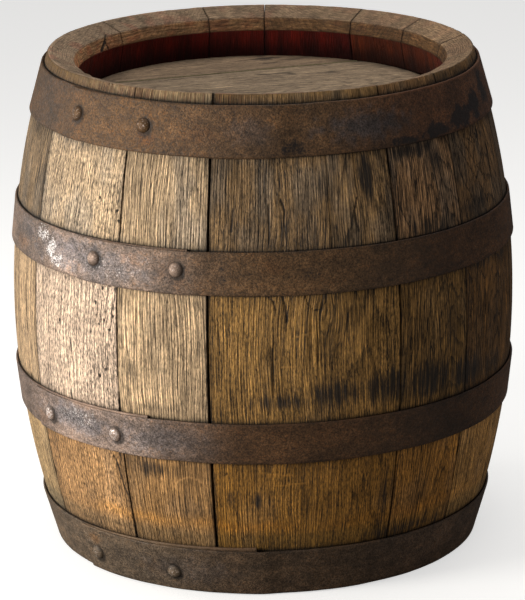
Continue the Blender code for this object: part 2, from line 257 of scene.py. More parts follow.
class Nodes:
    """Builds a material's node tree, one call to a node."""

    def __init__(self, name):
        self.material = bpy.data.materials.new(name)
        self.material.use_nodes = True
        self.tree = self.material.node_tree
        self.shader = self.tree.nodes["Principled BSDF"]

    def feed(self, socket, value):
        if isinstance(value, Value):
            self.tree.links.new(value.socket, socket)
        elif value is not None:
            is_colour = socket.type == "RGBA" and len(value) == 3
            socket.default_value = (*value, 1.0) if is_colour else value

    def add(self, kind, inputs, output=0, **settings):
        node = self.tree.nodes.new(f"ShaderNode{kind}")
        for key, value in settings.items():
            setattr(node, key, value)
        for key, value in inputs.items():
            self.feed(node.inputs[key], value)
        return Value(self, node.outputs[output])

    def vector(self, name):
        """A colour or a place that the mesh stores."""
        return self.add("Attribute", {}, "Vector", attribute_name=name)

    def value(self, name):
        """A number that the mesh stores."""
        return self.add("Attribute", {}, "Fac", attribute_name=name)

    def math(self, operation, a, b=None):
        return self.add("Math", {0: a, 1: b}, operation=operation)

    def scaled(self, vector, scale, offset):
        return self.add("VectorMath", {0: vector, 1: scale, 2: offset}, operation="MULTIPLY_ADD")

    def noise(self, vector, scale, offset=(0, 0, 0), detail=4.0, rough=0.55, distortion=0.0):
        place = self.scaled(vector, scale, offset)
        inputs = {"Vector": place, "Scale": 1.0, "Detail": detail, "Roughness": rough}
        return self.add("TexNoise", {**inputs, "Distortion": distortion})

    def cells(self, vector, scale):
        return self.add("TexVoronoi", {"Vector": self.scaled(vector, scale, (0, 0, 0)), "Scale": 1.0})

    def mix(self, share, a, b, blend="MIX"):
        return self.add("Mix", {0: share, 6: a, 7: b}, 2, data_type="RGBA", blend_type=blend)

    def brighten(self, colour, factor):
        """colour times a grey factor that may pass 1."""
        return self.add("VectorMath", {0: colour, "Scale": factor}, operation="SCALE")

    def bump(self, height, strength, distance):
        return self.add("Bump", {"Height": height, "Strength": strength, "Distance": distance})

    def finish(self, colour, roughness, metallic=0.0, normal=None, specular=0.5):
        inputs = {"Base Color": colour, "Roughness": roughness, "Metallic": metallic,
                  "Specular IOR Level": specular, "Normal": normal}
        for key, value in inputs.items():
            self.feed(self.shader.inputs[key], value)
        return self.material


def oak_material(name, streak=1.0, relief=1.0):
    """Weathered oak. The mesh gives grain (across, along, deep), tone, ring (growth rings),
    stain, worn, short (straight lines to short strokes) and vivid (how strongly it shows)."""
    nodes = Nodes(name)
    grain, tone = nodes.vector("grain"), nodes.vector("tone")
    ring, stain, worn, short, vivid = map(nodes.value, ("ring", "stain", "worn", "short", "vivid"))
    lines = nodes.noise(grain, (820, 30, 820), (0, 0, 0), 5, 0.66, 0.2)
    strokes = nodes.noise(grain, (1000, 250, 1000), (6, 3, 8), 4, 0.62, 0.5)
    streaks = nodes.noise(grain, (330, 9, 330), (9, 4, 2), 4, 0.6, 0.3)
    broad = nodes.noise(grain, (75, 6, 75), (1, 4, 2), 3)
    blotch = nodes.noise(grain, (48, 32, 48), (1, 8, 5), 5, 0.65)
    pores = nodes.noise(grain, (1000, 150, 1000), (5, 2, 3), 2, 0.5).spread(0.58, 0.68)

    phase = nodes.math("FRACT", ring + broad * 2.2 + streaks * 0.5)
    late = phase.spread(0.66, 0.95) * phase.spread(1.0, 0.97)
    veins = nodes.noise(grain, (135, 6, 135), (2, 7, 3), 3, 0.5, 0.5)
    vein = nodes.math("ABSOLUTE", veins - 0.5).spread(0.016, 0.004) * blotch.spread(0.46, 0.60)
    across = nodes.add("SeparateXYZ", {0: grain})
    furrow = nodes.math("PINGPONG", across * 430.0 + streaks * 1.8, 0.5)
    furrow = furrow.spread(0.08, 0.42, -0.26 * streak, 0.26 * streak)

    straight = 1.0 - short * 0.65
    light = lines.spread(0.37, 0.63, -0.52 * streak, 0.52 * streak) * straight + 1.0
    light *= strokes.spread(0.38, 0.62, -0.50 * streak, 0.50 * streak) * (short * 0.65 + 0.35) + 1.0
    light *= streaks.spread(0.36, 0.64, -0.22 * streak, 0.18 * streak) * straight + 1.0
    light *= furrow * straight + 1.0
    light *= broad.spread(0.34, 0.66, 0.88, 1.10)
    light *= blotch.spread(0.34, 0.66, 0.80, 1.16)
    light *= 1.0 - late * 0.42
    light *= 1.0 - pores * 0.32
    light *= 1.0 - vein * 0.60
    light = nodes.math("MAXIMUM", (light - 1.0) * vivid + 1.0, 0.05)

    warm = lines.spread(0.50, 0.66) * blotch.spread(0.45, 0.60) * 0.30
    colour = nodes.mix(warm, nodes.brighten(tone, light), (1.16, 1.05, 0.78), "MULTIPLY")
    soak = stain + streaks.spread(0.36, 0.64, -0.32, 0.32) + lines.spread(0.36, 0.64, 0.20, -0.20)
    soak = soak.spread(0.18, 0.80) * stain.spread(0.0, 0.15)
    colour = nodes.mix(soak * 0.93, colour, (0.019, 0.015, 0.013))
    colour = nodes.mix(worn * 0.6, colour, nodes.brighten(tone, 1.7))

    height = lines * straight + streaks * 0.6 + furrow * 0.35 + strokes * (short * 0.5 + 0.25)
    height = height - pores * 0.35 - vein * 0.3 + late * 0.12
    normal = nodes.bump(height, relief, 1.25 * MM)
    rough = (lines + blotch).spread(0.8, 1.2, 0.80, 0.56)
    return nodes.finish(colour, rough, 0.0, normal, specular=0.32)


def iron_material(name, relief=1.0, speckle=1.0):
    """Rusted hoop iron. The mesh gives grain (along, across, deep), tone, stain, bare_and_glint and worn.
    """
    nodes = Nodes(name)
    place, tone = nodes.vector("grain"), nodes.vector("tone")
    stain, bare_and_glint, worn = map(nodes.value, ("stain", "bare_and_glint", "worn"))
    cloud = nodes.noise(place, (30, 60, 40), (0, 0, 0), 6, 0.62, 0.4)
    mottle = nodes.noise(place, (170, 230, 200), (3, 1, 4), 5, 0.68)
    speck = nodes.noise(place, (760, 760, 700), (8, 2, 5), 3, 0.65)
    grit = nodes.noise(place, (420, 420, 400), (1, 6, 2), 4, 0.7)
    pit = nodes.cells(place, (430, 430, 400)).spread(0.32, 0.12) * mottle.spread(0.44, 0.60)

    light = cloud.spread(0.34, 0.66, 0.70, 1.30) * mottle.spread(0.36, 0.64, 0.66, 1.36)
    light *= speck.spread(0.35, 0.65, 1 - 0.60 * speckle, 1 + 0.66 * speckle)
    rust = grit.spread(0.52, 0.62) * cloud.spread(0.42, 0.60) * 0.34
    ashen = mottle.spread(0.50, 0.62) * cloud.spread(0.56, 0.44) * 0.28
    colour = nodes.mix(rust, nodes.brighten(tone, light), (1.6, 1.10, 0.58), "MULTIPLY")
    colour = nodes.mix(ashen, colour, (0.86, 0.98, 1.20), "MULTIPLY")
    # Polished iron, partly real and partly a painted glint: near-white colour, more metal, less rough.
    scuffed_and_glint = (bare_and_glint * 0.16 + speck * 0.6 + grit * 0.4).spread(0.61, 0.69) * bare_and_glint.spread(0.0, 0.5)
    colour = nodes.mix(scuffed_and_glint * 0.85, colour, (0.92, 0.88, 0.86))
    colour = nodes.mix(pit * 0.60, colour, nodes.brighten(tone, 0.22))
    soak = (stain * 0.22 + grit * 0.5 + mottle * 0.5).spread(0.54, 0.70) * stain.spread(0.05, 0.3)
    colour = nodes.mix(soak * 0.90, colour, (0.008, 0.007, 0.008))
    colour = nodes.mix(worn * 0.85, colour, nodes.mix(1.0, tone, (2.6, 2.3, 1.9), "MULTIPLY"))

    height = mottle * 0.6 + speck * 0.5 + grit * 0.5 - pit * 0.3
    normal = nodes.bump(height, 0.95 * relief, 0.75 * MM)
    rough = grit.spread(0.36, 0.64, 0.50, 0.70) - scuffed_and_glint * 0.20
    return nodes.finish(colour, rough, scuffed_and_glint * 0.5 + 0.15, normal, specular=0.40)


def plain_wood_material(name, colour, dark, across=500.0):
    """Clean straight-grained wood for small pieces, from their own place in space."""
    nodes = Nodes(name)
    place = nodes.add("TexCoord", {}, "Object")
    streaks = nodes.noise(place, (across, across, 40), (0, 0, 0), 5, 0.6)
    blotch = nodes.noise(place, (70, 70, 60), (2, 5, 1), 3)
    shade = streaks.spread(0.3, 0.7, 0.7, 1.25) * blotch.spread(0.3, 0.7, 0.8, 1.15)
    tinted = nodes.mix(blotch.spread(0.5, 0.75, 0.0, 0.6), colour, dark)
    normal = nodes.bump(streaks, 0.5, 0.4 * MM)
    rough = streaks.spread(0.3, 0.7, 0.75, 0.55)
    return nodes.finish(nodes.brighten(tinted, shade), rough, 0.0, normal, specular=0.3)


# ---------------------------------------------------------------- staves

# The outside of each stave from under the top hoop to the foot: colours of the zones between the
# hoops (upper, middle, lower), and how its growth rings lie (pith across, pith depth, tilt), in mm.
STAVE_LOOKS = {
    1: ((126, 104, 78), (138, 112, 80), (140, 108, 70), (60, 45, 0.10)),
    2: ((132, 108, 80), (146, 118, 84), (150, 116, 76), (10, 60, 0.22)),
    3: ((136, 112, 82), (188, 158, 122), (180, 150, 108), (-30, 50, 0.12)),
    4: ((201, 173, 138), (226, 198, 172), (180, 138, 92), (90, 60, 0.05)),
    5: ((206, 176, 138), (218, 186, 146), (174, 132, 83), (120, 40, 0.02)),
    6: ((146, 115, 76), (163, 123, 66), (159, 113, 48), (50, 70, 0.06)),
    7: ((148, 113, 78), (138, 103, 54), (174, 122, 54), (20, 36, 0.16)),
    8: ((125, 94, 60), (118, 83, 42), (184, 138, 78), (6, 22, 0.20)),
    9: ((118, 90, 60), (114, 84, 50), (168, 130, 80), (80, 40, 0.05)),
    10: ((118, 94, 66), (124, 98, 66), (134, 104, 66), (-10, 30, 0.18)),
    11: ((112, 90, 64), (118, 92, 62), (126, 98, 62), (70, 50, 0.03)),
    12: ((120, 96, 68), (126, 100, 68), (132, 104, 68), (-40, 45, 0.12)),
    13: ((118, 94, 66), (124, 98, 66), (130, 102, 66), (30, 60, 0.08)),
}
# Slow changes of brightness round the front in each zone: angles, then factors.
# They are partly the wood's own tone and partly painted light and shade.
FRONT_TONE_AND_PAINTED_LIGHT = {
    "upper": ((-70, -62, -38, -26, -12, 2, 8, 24, 36, 44),
              (1, 0.78, 1.12, 1.06, 1.05, 0.86, 1.12, 1.34, 1.37, 1)),
    "middle": ((-40, -28, -20, -12.2, -12.1, 16, 26, 36, 44, 51, 53),
               (1, 1.15, 0.92, 0.88, 1, 1, 1.2, 1.15, 0.75, 0.85, 1)),
    "lower": ((-46, -38, -33, 58, 70, 90), (1, 1.25, 1, 1, 1.3, 1)),
}
# By stave: how far the grain breaks from straight lines into short strokes, and how strongly it shows.
SHORT_GRAIN = {3: 0.45, 4: 0.90, 5: 0.05, 6: 0.30, 7: 0.05, 8: 0.05}
VIVID_GRAIN = {3: 1.40, 4: 1.40, 5: 1.30, 6: 1.45, 7: 1.60, 8: 1.65, 9: 1.5}
# Staves with a finer grid, and those that close up on a neighbour at the top: left and right edge.
FINE_STAVES = range(2, 9)
CLOSED_EDGES = {2: (0, 1), 3: (1, 1), 4: (1, 1), 5: (1, 0)}

# Dark soaked places on the outside: angle, height, and half sizes across and up in mm, strength.
STAINS = (
    (25, 363, 9, 20, 1.0), (38, 375, 28, 8, 0.90), (45, 364, 12, 13, 0.70), (31, 340, 12, 36, 0.45),
    (13, 360, 7, 10, 0.35), (5, 323, 5, 14, 0.5), (15, 350, 7, 7, 0.45), (13, 322, 10, 10, 0.40),
    (42, 312, 36, 8, 0.60), (58, 316, 24, 10, 0.60), (-22, 311, 26, 6, 0.22), (10, 312, 40, 8, 0.40),
    (-24, 168, 30, 7, 0.45), (-31, 201, 8, 14, 0.40), (4, 179, 34, 7, 0.65), (15, 184, 26, 13, 0.80),
    (27, 185, 24, 19, 0.95), (39, 182, 30, 20, 0.95), (51, 178, 28, 16, 0.95), (64, 174, 24, 12, 0.65),
    (-2, 91, 4, 9, 0.85), (-6, 92, 11, 7, 0.35), (-27, 114, 24, 8, 0.60), (29, 82, 7, 38, 0.50),
    (36, 49, 52, 6, 0.65), (-48, 377, 7, 9, 0.50), (-73, 377, 14, 8, 0.40), (70, 264, 18, 9, 0.55),
    (58, 268, 26, 6, 0.50), (46, 222, 12, 42, 0.40), (30, 246, 6, 40, 0.25), (66, 222, 8, 50, 0.35),
    (110, 340, 16, 24, 0.6), (140, 180, 30, 18, 0.6), (-150, 300, 30, 20, 0.4), (170, 120, 26, 12, 0.5),
    (-112, 178, 18, 36, 0.35), (-90, 165, 20, 10, 0.35), (-16, 262, 30, 5, 0.25),
)
# Dark splits along the grain, and pale scratches across it: half width in mm, then angles and heights.
SPLITS = (
    (0.8, ((0, 272), (2, 266), (2.6, 258))), (0.9, ((4, 270), (4.8, 260), (5, 248))),
    (0.8, ((1.8, 226), (2, 184))), (0.9, ((4.2, 347), (5, 339), (4.8, 326))),
    (0.6, ((1.4, 344), (1.4, 312))), (0.9, ((-6.6, 340), (-7, 322))), (0.7, ((-29, 254), (-29, 222))),
    (0.45, ((9, 269), (9.6, 262), (10.6, 257))), (0.8, ((-37, 119), (-36, 110), (-35.3, 94), (-34.4, 84))),
    (0.45, ((10.6, 257), (12.2, 256), (13.7, 264))), (0.8, ((52.6, 266), (54.5, 247), (52.6, 225))),
    (0.8, ((57, 265), (60, 250), (59, 219))), (0.9, ((32.6, 335), (33.7, 325), (35, 315))),
    (0.7, ((22, 345), (21, 330), (22, 318))), (0.7, ((43, 345), (44, 332), (43, 318))),
    (0.8, ((-68, 200), (-69, 255))), (0.45, ((60, 375), (62.5, 370), (65, 375))),
    (0.45, ((59.5, 371), (62.5, 365), (65.5, 371))), (0.7, ((54, 372), (58, 350), (63, 325), (65, 313))),
    (0.7, ((52.5, 370), (54, 345), (58, 318))), (0.6, ((57, 372), (61, 350), (66, 330))),
    (0.7, ((120, 150), (121, 210))), (0.8, ((-150, 60), (-149, 118))), (0.7, ((95, 330), (94, 372))),
)
SCRATCHES = (
    (0.7, ((-21.7, 99), (-20.2, 106), (-17.7, 110), (-15.4, 107.5), (-13.5, 100.5))),
    (0.6, ((6.2, 234), (8.6, 236.5), (11, 238))), (0.6, ((3.6, 210), (6.8, 209.5))),
    (0.6, ((-1, 116), (6, 113))), (0.6, ((2, 104), (9, 106))),
)
# Worm holes: angle and height.
WORMHOLES = (
    (-38, 265), (-36, 269), (-40, 252), (-35, 243), (-37.5, 238), (-39, 234), (-36, 231), (-37.3, 196),
    (-39, 189), (-35, 331), (-34.4, 323), (-40.4, 339), (-52, 228),
)
# Chips broken off the long edges: stave, 0 left or 1 right edge, height, half height, depth in mm.
CHIPS = (
    (4, 1, 184, 9, 2.6), (4, 1, 318, 4, 1.6), (5, 0, 232, 4, 1.4), (6, 0, 120, 7, 1.8), (7, 0, 205, 5, 1.6),
)
# Splits in the end bevels: stave, then the two ends as angle and distance from the axis in mm.
END_SPLITS = (
    (2, (-123.4, 163.0), (-120.6, 158.8)), (2, (-120.6, 158.8), (-121.6, 156.6)),
    (2, (-120.6, 158.8), (-117.2, 156.8)), (12, (138, 171), (139.5, 160)), (9, (84, 172), (85, 166)),
)
# Knots and swirls in the grain: stave, mm from its middle, height, half sizes, how far grain is pushed.
KNOTS = (
    (6, 14, 252, 7, 13, 5.0), (6, -24, 330, 9, 26, 3.0), (6, 40, 330, 8, 20, 3.5),
    (6, -10, 95, 12, 24, 2.5), (8, 4, 368, 7, 12, 6.0), (8, -8, 320, 10, 30, 4.0),
    (7, 6, 235, 9, 30, 3.0), (9, 0, 235, 10, 26, 4.5), (4, -8, 205, 12, 22, 2.0),
    (4, 10, 305, 10, 18, 2.5), (11, 8, 300, 9, 20, 5.0), (13, -12, 180, 9, 20, 4.0),
    (2, -26, 120, 8, 16, 4.0), (5, 6, 345, 12, 30, 1.5), (3, 8, 90, 9, 18, 3.0), (10, -6, 110, 9, 20, 4.0),
)


def from_line(x, y, along_x, along_y):
    """Distance of places from a line that runs from zero to (along_x, along_y)."""
    share = np.clip((x * along_x + y * along_y) / (along_x ** 2 + along_y ** 2), 0, 1)
    return np.hypot(x - share * along_x, y - share * along_y)


def line_field(lines, degree, z):
    """1 on the given lines, falling off over their half widths."""
    found = np.zeros_like(z)
    scale = radians(1.0) * BILGE_RADIUS
    for half, places in lines:
        for (d0, h0), (d1, h1) in zip(places, places[1:]):
            off = signed_degrees(degree - d0) * scale
            away = from_line(off, z - h0 * MM, (d1 - d0) * scale, (h1 - h0) * MM)
            found = np.maximum(found, smooth(1.5 * half * MM, 0.4 * half * MM, away))
    return found


def split_field(index, degree, radius):
    """1 on the stave's end splits, falling off over half a millimetre."""
    found = np.zeros_like(degree)
    for stave, (d0, r0), (d1, r1) in END_SPLITS:
        if stave == index:
            off = np.radians(degree - d0) * END_RADIUS
            away = from_line(off, radius - r0 * MM, radians(d1 - d0) * END_RADIUS, (r1 - r0) * MM)
            found = np.maximum(found, smooth(0.75 * MM, 0.25 * MM, away))
    return found


def refined(points, spacing):
    """Points along a closed outline no further apart than spacing, with its corners rounded off."""
    fine = []
    for (r0, z0), (r1, z1) in zip(points, points[1:] + points[:1]):
        count = max(1, ceil(sqrt((r1 - r0) ** 2 + (z1 - z0) ** 2) / spacing(r0, r1)))
        fine += [(r0 + (r1 - r0) * i / count, z0 + (z1 - z0) * i / count) for i in range(count)]
    outline = np.array(fine)
    return (np.roll(outline, 1, 0) + 2 * outline + np.roll(outline, -1, 0)) / 4


def stave_outline():
    """A stave's section as a closed outline, up the outside, over the chime and down the inside.
    Returns radius, z, and which face each point is on: 0 outside, 1 end bevels, 2 chime wall, 3 inside."""
    groove = (HEAD_TOP + HEAD_BOTTOM) / 2 - MIDDLE
    outside = [(outer_radius(MIDDLE + rise), rise) for rise in np.linspace(0, MIDDLE, 24)]
    upper = outside + [(END_RADIUS - LAND_WIDTH, MIDDLE)]
    upper += [(END_RADIUS - inset, MIDDLE - drop) for inset, drop in (SHALLOW_BEVEL, STEEP_BEVEL)]
    lip = outer_radius(MIDDLE + groove) - CROZE_THICK
    upper += [(lip - LAND_WIDTH, groove + 7.0 * MM), (CROZE_RADIUS, groove + 4.0 * MM)]
    upper += [(CROZE_RADIUS, groove - 4.0 * MM), (lip, groove - 5.5 * MM)]
    top = groove - 5.5 * MM
    thick = outer_radius(MIDDLE + top) - lip
    for share in (0.75, 0.5, 0.25, 0.0):
        wall = BILGE_THICK + (thick - BILGE_THICK) * share ** 2
        upper.append((outer_radius(MIDDLE + top * share) - wall, top * share))
    loop = upper + [(radius, -rise) for radius, rise in reversed(upper[1:-1])]

    def spacing(r0, r1):
        if min(r0, r1) > END_RADIUS - 0.1 * MM:
            return 1.45 * MM
        return 1.1 * MM if max(r0, r1) < END_RADIUS + 0.1 * MM else 8.0 * MM

    radius, rise = refined(loop, spacing).T
    face = np.full(len(rise), 3)
    face[np.abs(rise) > abs(groove) + 3 * MM] = 2
    face[np.abs(rise) > MIDDLE - STEEP_BEVEL[1] - 0.5 * MM] = 1
    face[radius > outer_radius(MIDDLE + rise) - 0.35 * MM] = 0
    return radius, rise + MIDDLE, face


OUTLINE_R, OUTLINE_Z, OUTLINE_FACE = stave_outline()


def outline_normals():
    outline = np.stack([OUTLINE_R, OUTLINE_Z])
    along = np.roll(outline, -1, axis=1) - np.roll(outline, 1, axis=1)
    along /= np.linalg.norm(along, axis=0)
    return along[1], -along[0]


NORMAL_R, NORMAL_Z = outline_normals()


def near_hoops(z, reach_above, reach_below):
    """1 at the edges of a hoop, falling away above and below it over the given reaches."""
    close = np.zeros_like(z)
    for hoop in HOOPS.values():
        low, high = (edge * MM for edge in hoop["edges"])
        close = np.maximum(close, np.exp(-np.maximum(z - high, 0) / reach_above) * (z > low))
        close = np.maximum(close, np.exp(-np.maximum(low - z, 0) / reach_below) * (z < high))
    return close


def knot_push(index, local, z):
    """Sideways push of the grain round the stave's knots."""
    push = np.zeros_like(z)
    for stave, across, height, wide, tall, strength in KNOTS:
        if stave == index:
            x = (local - across * MM) / (wide * MM)
            y = (z - height * MM) / (tall * MM)
            push -= strength * MM * x * np.exp(-(x * x + y * y) / 1.6)
    return push


def stain_field(degree, z, across):
    """How dark the soaked places are."""
    dark = np.zeros_like(z)
    ragged = 0.35 * fractal(across / (4.5 * MM), z / (42 * MM), 91, 4)
    for middle, height, wide, tall, strength in STAINS:
        x = radians(1.0) * signed_degrees(degree - middle) * outer_radius(z) / (wide * MM)
        y = (z - height * MM) / (tall * MM)
        dark = np.maximum(dark, strength * smooth(1.45, 0.10, np.sqrt(x * x + y * y) + ragged))
    return dark


def stave_grid(name):
    """The stave's grid of places, with columns from edge to edge and rows round its outline."""
    index = int(name[-2:])
    first, last = stave_span(name)
    width = (last - first) * BILGE_RADIUS
    spacing = (0.9 if index in FINE_STAVES else 1.3) * MM
    across = stepped(0.0, width, spacing, [step * MM for step in (0.3, 0.7, 1.2, 1.9, 2.8)])
    u, z = np.meshgrid(across, OUTLINE_Z, indexing="ij")
    face = np.broadcast_to(OUTLINE_FACE, u.shape)
    return SimpleNamespace(
        index=index, seed=100 * index, first=first, u=u, z=z, local=u - width / 2,
        to_edge=np.minimum(u, width - u), right=u > width / 2, side=np.where(u < width / 2, 3, 7),
        degree=np.degrees(first + u / BILGE_RADIUS), radius=np.broadcast_to(OUTLINE_R, u.shape),
        face=face, outside=face == 0, ends=face == 1,
    )


def round_edges(grid):
    """Wears the long edges round, and here and there chips them back."""
    z, side, seed = grid.z, grid.side, grid.seed
    chipped = smooth(0.30, 0.75, noise(z / (9 * MM), side, seed + 5))
    chipped = chipped * smooth(0.0, 0.5, noise(z / (40 * MM), side, seed + 6))
    ragged = 0.25 * noise(z / (2.5 * MM), side, seed + 8)
    grid.broken = np.zeros_like(z)
    for stave, edge, middle, tall, deep in CHIPS:
        if stave == grid.index:
            near = smooth(1.0, 0.5, np.abs(z / MM - middle) / tall + ragged)
            grid.broken = np.maximum(grid.broken, (grid.right == bool(edge)) * near * deep)
    rounding = 0.5 + 0.25 * noise(z / (30 * MM), side, seed + 7) + 1.8 * chipped + grid.broken
    inset = np.clip(1 - grid.to_edge / (rounding * MM), 0.0, 1.0)
    grid.sunk = rounding * MM * (1 - np.sqrt(1 - inset ** 2)) * 0.8


def cut_marks(grid):
    """Finds the worm holes, splits and scratches on the outside and the splits in the ends."""
    grid.bored = np.zeros_like(grid.z)
    for degree, height in WORMHOLES:
        off = signed_degrees(grid.degree - degree) * radians(1) * BILGE_RADIUS
        away = np.hypot(off, grid.z - height * MM)
        grid.bored = np.maximum(grid.bored, smooth(1.7 * MM, 0.7 * MM, away) * grid.outside)
    grid.opened = line_field(SPLITS, grid.degree, grid.z) * grid.outside
    grid.scratched = line_field(SCRATCHES, grid.degree, grid.z) * grid.outside
    grid.split = split_field(grid.index, grid.degree, grid.radius) * grid.ends


def stave_points(grid):
    """The grid's points: the outline, pushed out by the relief and in by the wear."""
    local, z, seed = grid.local, grid.z, grid.seed
    # Waves left by shaving, raised grain, and a few checks that follow the grain.
    wave = 0.30 * fractal(local / (45 * MM), z / (140 * MM), seed + 1, 2)
    grain = 0.16 * fractal(local / (3.2 * MM), z / (60 * MM), seed + 2, 3)
    check = 0.45 * smooth(0.42, 0.62, fractal(local / (5.5 * MM), z / (75 * MM), seed + 3, 2))
    shaved = wave + grain - check
    shaved = np.where(near_hoops(z, 4 * MM, 4 * MM) > 0.999, np.minimum(shaved, 0.0), shaved)
    sawn = 0.22 * fractal(local / (6 * MM), (grid.radius + z) / (6 * MM), seed + 4, 3)
    sawn = sawn - 0.5 * smooth(0.2, 0.8, noise(local / (12 * MM), z * 0, seed + 9))
    rough = 0.25 * fractal(local / (5 * MM), z / (30 * MM), seed + 8, 3)
    relief = np.choose(grid.face, [shaved, sawn, rough, 0.0])
    relief = relief - 1.1 * grid.bored - 0.9 * grid.split - 0.7 * grid.opened - 0.15 * grid.scratched
    push = np.where(grid.face == 3, 0.0, relief * MM - grid.sunk)
    radius = grid.radius + NORMAL_R * push
    height = np.clip(z + NORMAL_Z * push, 0.0, HEIGHT)
    closing = 0.45 * MM * smooth(385 * MM, 412 * MM, z) * np.exp(-grid.to_edge / (5 * MM))
    left, right = CLOSED_EDGES.get(grid.index, (0, 0))
    angle = grid.first + (grid.u + closing * np.where(grid.right, right, -left)) / BILGE_RADIUS
    return np.stack([radius * np.sin(angle), -radius * np.cos(angle), height], axis=-1)


def stave_grain(grid):
    """The wood's own coordinates, its growth rings, and how its grain breaks up and shows."""
    index, local, z, seed = grid.index, grid.local, grid.z, grid.seed
    low_zone = smooth(150 * MM, 120 * MM, z)
    short = SHORT_GRAIN.get(index, 0.3) + 0.30 * low_zone
    short = np.clip(short + 0.5 * fractal(local / (24 * MM), z / (50 * MM), seed + 16, 3), 0, 1)
    vivid = VIVID_GRAIN.get(index, 1.15) * (1 - 0.10 * low_zone)
    vivid = vivid * (1 - 0.4 * smooth(418 * MM, 424 * MM, z))
    vivid = np.choose(grid.face, [vivid, 0.80, 0.55, vivid])
    pith_across, pith_depth, tilt = STAVE_LOOKS[index][3]
    depth = outer_radius(z) - grid.radius
    sway = 5.0 * MM * fractal(local / (60 * MM), z / (110 * MM), seed + 11, 3) + knot_push(index, local, z)
    ring_across = local - pith_across * MM + sway
    ring_depth = depth + pith_depth * MM + tilt * (z - MIDDLE)
    along = np.stack([local + sway + 1.7 * index, z + 0.9 * index, depth], axis=-1)
    end_cut = np.stack([1.2 * depth + 0.3 * sway + 1.7 * index, 3.5 * local, z], axis=-1)
    return {
        "grain": np.where(grid.ends[..., None], end_cut, along),
        "ring": np.hypot(ring_across, ring_depth) / (3.4 * MM), "short": short, "vivid": vivid,
    }


def zone_tone(grid):
    """The three zone colours blended up the stave, with the front's tone and painted light and shade."""
    z = grid.z
    upper, middle, lower = (linear(*tone) for tone in STAVE_LOOKS[grid.index][:3])
    tone = blended(middle, smooth(275 * MM, 300 * MM, z)[..., None], upper)
    tone = blended(tone, smooth(155 * MM, 130 * MM, z)[..., None], lower)
    above = smooth(285 * MM, 305 * MM, z)
    below = smooth(150 * MM, 135 * MM, z)
    # Painted light and shade round the front, mixed with the wood's own tone, zone by zone.
    shade = 1.0
    for zone, weight in (("upper", above), ("middle", 1 - above - below), ("lower", below)):
        shade = shade + weight * (np.interp(grid.degree, *FRONT_TONE_AND_PAINTED_LIGHT[zone]) - 1)
    return tone * shade[..., None]


def stave_tone(grid):
    """The stave's colour: zones, weathering, dark edges, painted shade at hoops, and marks near the foot.
    """
    degree, local, z, seed = grid.degree, grid.local, grid.z, grid.seed
    sweep = fractal(local / (26 * MM), z / (60 * MM), seed + 12, 4)
    tone = zone_tone(grid) * (1 + 0.28 * sweep)[..., None]
    upper = smooth(262 * MM, 300 * MM, z)
    weather = fractal(local / (18 * MM), z / (40 * MM), seed + 14, 4) + 0.25 * upper - 0.12
    weather = smooth(-0.1, 0.5, weather) * (0.18 + 0.34 * upper)
    grey = tone.mean(axis=-1, keepdims=True) * np.array([1.20, 0.99, 0.76]) * 0.76
    tone = blended(tone, weather[..., None], grey)
    # Dark seams along the stave edges, and painted shade in the gaps at the hoops' edges and near them.
    dirt_and_hoop_shade = np.exp(-grid.to_edge / (0.7 * MM)) * 0.58 + np.exp(-grid.to_edge / (6 * MM)) * 0.12
    dirt_and_hoop_shade = dirt_and_hoop_shade + near_hoops(z, 5 * MM, 5 * MM) * 0.28 + near_hoops(z, 1.6 * MM, 0.6 * MM) * 0.74
    tone = tone * (1 - np.clip(dirt_and_hoop_shade, 0, 0.92) * grid.outside)[..., None]
    wetted = smooth(-52, -36, degree) * smooth(14, -4, degree)
    wetted = wetted + 0.4 * smooth(10, 20, degree) * smooth(70, 50, degree)
    line = 66 * MM + 2.5 * MM * noise(grid.u / (16 * MM), 3, seed + 15)
    mark = np.exp(-((z - line) / (5 * MM)) ** 2) * wetted
    tone = tone * (1 + mark[..., None] * np.array([0.36, 0.24, -0.05]))
    foot = smooth(62 * MM, 54 * MM, z) * (z > 30 * MM) * (np.abs(degree) < 80)
    tone = tone * (1 - foot[..., None] * np.array([0.30, 0.24, 0.16]))
    tone = np.choose(grid.face[..., None], [
        np.where((z > HOOPS["top_chime"]["edges"][1] * MM)[..., None], rim_tone(grid, tone), tone),
        bevel_tone(grid), wine_tone(grid), tone,
    ])
    left, right = CLOSED_EDGES.get(grid.index, (0, 0))
    seam = (0.7 - 0.45 * np.where(grid.right, right, left)) * np.exp(-grid.to_edge / (0.9 * MM))
    return tone * (1 - seam * (grid.face > 0))[..., None]


def bevel_tone(grid):
    """End bevels: grey on the left, brown on the right, reddened and darker in places."""
    degree, local, z, seed = grid.degree, grid.local, grid.z, grid.seed
    right = (0.5 + 0.5 * np.sin(np.radians(degree)))[..., None]
    bevel = blended(linear(168, 142, 114), right, linear(150, 122, 92))
    redness = smooth(-0.1, 0.45, fractal(local / (13 * MM), z / (5 * MM), seed + 20, 4))
    bevel = blended(bevel, 0.6 * redness[..., None] * (1 - 0.8 * right), linear(164, 108, 84))
    bevel = bevel * (1 + 0.45 * fractal(local / (9 * MM), z / (4 * MM), seed + 21, 4))[..., None]
    bevel = bevel * np.interp(degree, (-110, -90, -70, 95, 110, 125, 176, 190, 200),
                              (0.95, 1.12, 0.98, 0.95, 1.25, 0.98, 0.90, 0.70, 0.90))[..., None]
    shoulder = HEIGHT - SHALLOW_BEVEL[1]
    steep = smooth(shoulder, shoulder - 1.5 * MM, np.maximum(z, HEIGHT - z))[..., None]
    inner = blended(np.array([1.50, 1.18, 0.88]), np.sqrt(right), np.array([0.46, 0.36, 0.23]))
    return bevel * (1 - steep * (1 - inner))


